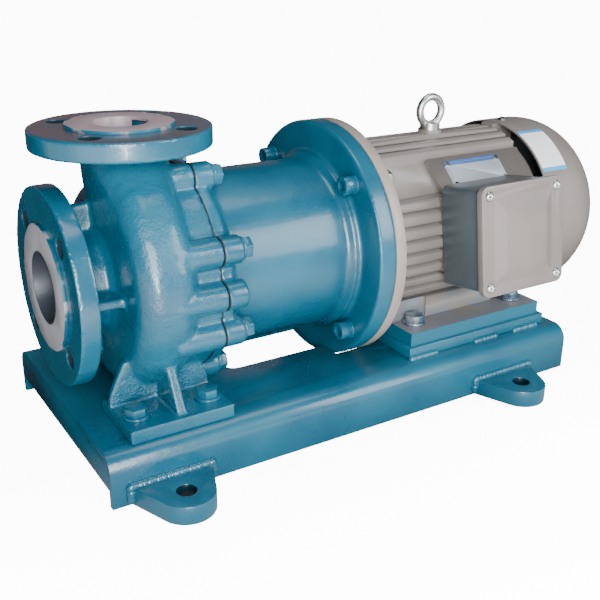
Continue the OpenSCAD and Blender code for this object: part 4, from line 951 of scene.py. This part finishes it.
def screws(name, finish, head_height=3.5 * MM):
    places = list(screw_places(name, head_height))
    spots = bpy.data.meshes.new(name + "_heads")
    spots.from_pydata([tuple(foot) for foot, _ in places], [], [])
    facing = spots.attributes.new("facing", "FLOAT_VECTOR", "POINT")
    facing.data.foreach_set("vector", np.array([axis for _, axis in places], np.float32).ravel())
    piece = grown(put(name + "_finish", spots), screw, Finish=finish)
    return stand_for(piece, name)


for made in (
    screws("terminal_cover_screws", finishes["bright_steel"]),
    screws("fan_cowl_screws", finishes["dark_steel"]),
):
    print(made.name, len(made.data.polygons), "faces")

# %% [markdown]
# ## Nameplate and label
# The nameplate is thin silver metal with a blue band along its two long edges, and a white sticker with blue ends
# lies round the cowl. Both stay blank. Their bands must follow the plate and not the room, so each mesh carries
# a number that runs across it, and the finish turns that number into bands.

# %% Banded finish
def banded(name, ground, band, edge, rough, metal):
    finish, tree, shader = new_finish(name)
    across = add(tree, "ShaderNodeAttribute", attribute_name="across").outputs["Fac"]
    side = apart(tree, across)
    tone = use(tree, drift, Scale=40.0)
    ink = tinted(tree, tone["Cloud"], rgb(*band), rgb(*(c * 1.3 for c in band)))
    base = tinted(tree, tone["Cloud"], rgb(*ground), rgb(*(c * 0.93 for c in ground)))
    mask = between(tree, side, edge - 0.01, edge + 0.01)
    feed(tree, shader.inputs["Base Color"], tinted(tree, mask, base, ink))
    feed(tree, shader.inputs["Roughness"], between(tree, tone["Cloud"], 0, 1, rough - 0.05, rough + 0.05))
    feed(tree, shader.inputs["Metallic"], between(tree, mask, 0, 1, metal, 0.0))
    bumped(tree, shader, 0.1 * MM, Peel=0.3, Grain=0.3, Waves=0.2)
    return finish


def number_across(piece, value):
    attribute = piece.data.attributes.new("across", "FLOAT", "POINT")
    attribute.data.foreach_set("value", [value(v.co) for v in piece.data.vertices])


PLATE_TURN, PLATE_HALF = math.radians(45), 16.5 * MM
plate_across = Vector((0, math.cos(PLATE_TURN), math.sin(PLATE_TURN)))
plate = bpy.data.objects["nameplate_finish"]
plate.data.materials.clear()
plate.data.materials.append(banded("nameplate_print", (0.5, 0.52, 0.55), (0.04, 0.1, 0.26), 0.66, 0.35, 0.5))
plate_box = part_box("nameplate")
plate_mid = (plate_box[0] + plate_box[1]) / 2
number_across(plate, lambda co: (co - plate_mid).dot(plate_across) / PLATE_HALF)
print("nameplate:", [round(c / MM, 1) for c in plate_box[1] - plate_box[0]], "mm box")


# %% Cowl sticker
def cowl_sticker(x0, x1, turn0, turn1, radius, columns=8, rows=24):
    points, faces, across = [], [], []
    for j in range(rows + 1):
        turn = math.radians(turn0 + (turn1 - turn0) * j / rows)
        for i in range(columns + 1):
            x = x0 + (x1 - x0) * i / columns
            points.append((x, -radius * math.sin(turn), SHAFT_Z + radius * math.cos(turn)))
            across.append(2 * j / rows - 1)
    wide = columns + 1
    for j in range(rows):
        for i in range(columns):
            a = j * wide + i
            faces.append((a, a + wide, a + wide + 1, a + 1))
    mesh = bpy.data.meshes.new("cowl_sticker")
    mesh.from_pydata(points, [], faces)
    mesh.attributes.new("across", "FLOAT", "POINT").data.foreach_set("value", across)
    piece = put("cowl_sticker", mesh, banded("sticker_print", (0.85, 0.83, 0.83), (0.06, 0.28, 0.5), 0.84, 0.4, 0.0))
    film = piece.modifiers.new("film", "SOLIDIFY")
    film.thickness = 0.25 * MM
    film.offset = 0
    return baked(piece)


sticker = cowl_sticker(281 * MM, 318 * MM, 21.5, 55, 103.55 * MM)
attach(sticker, "pump_and_motor")
print("sticker:", len(sticker.data.polygons), "faces")
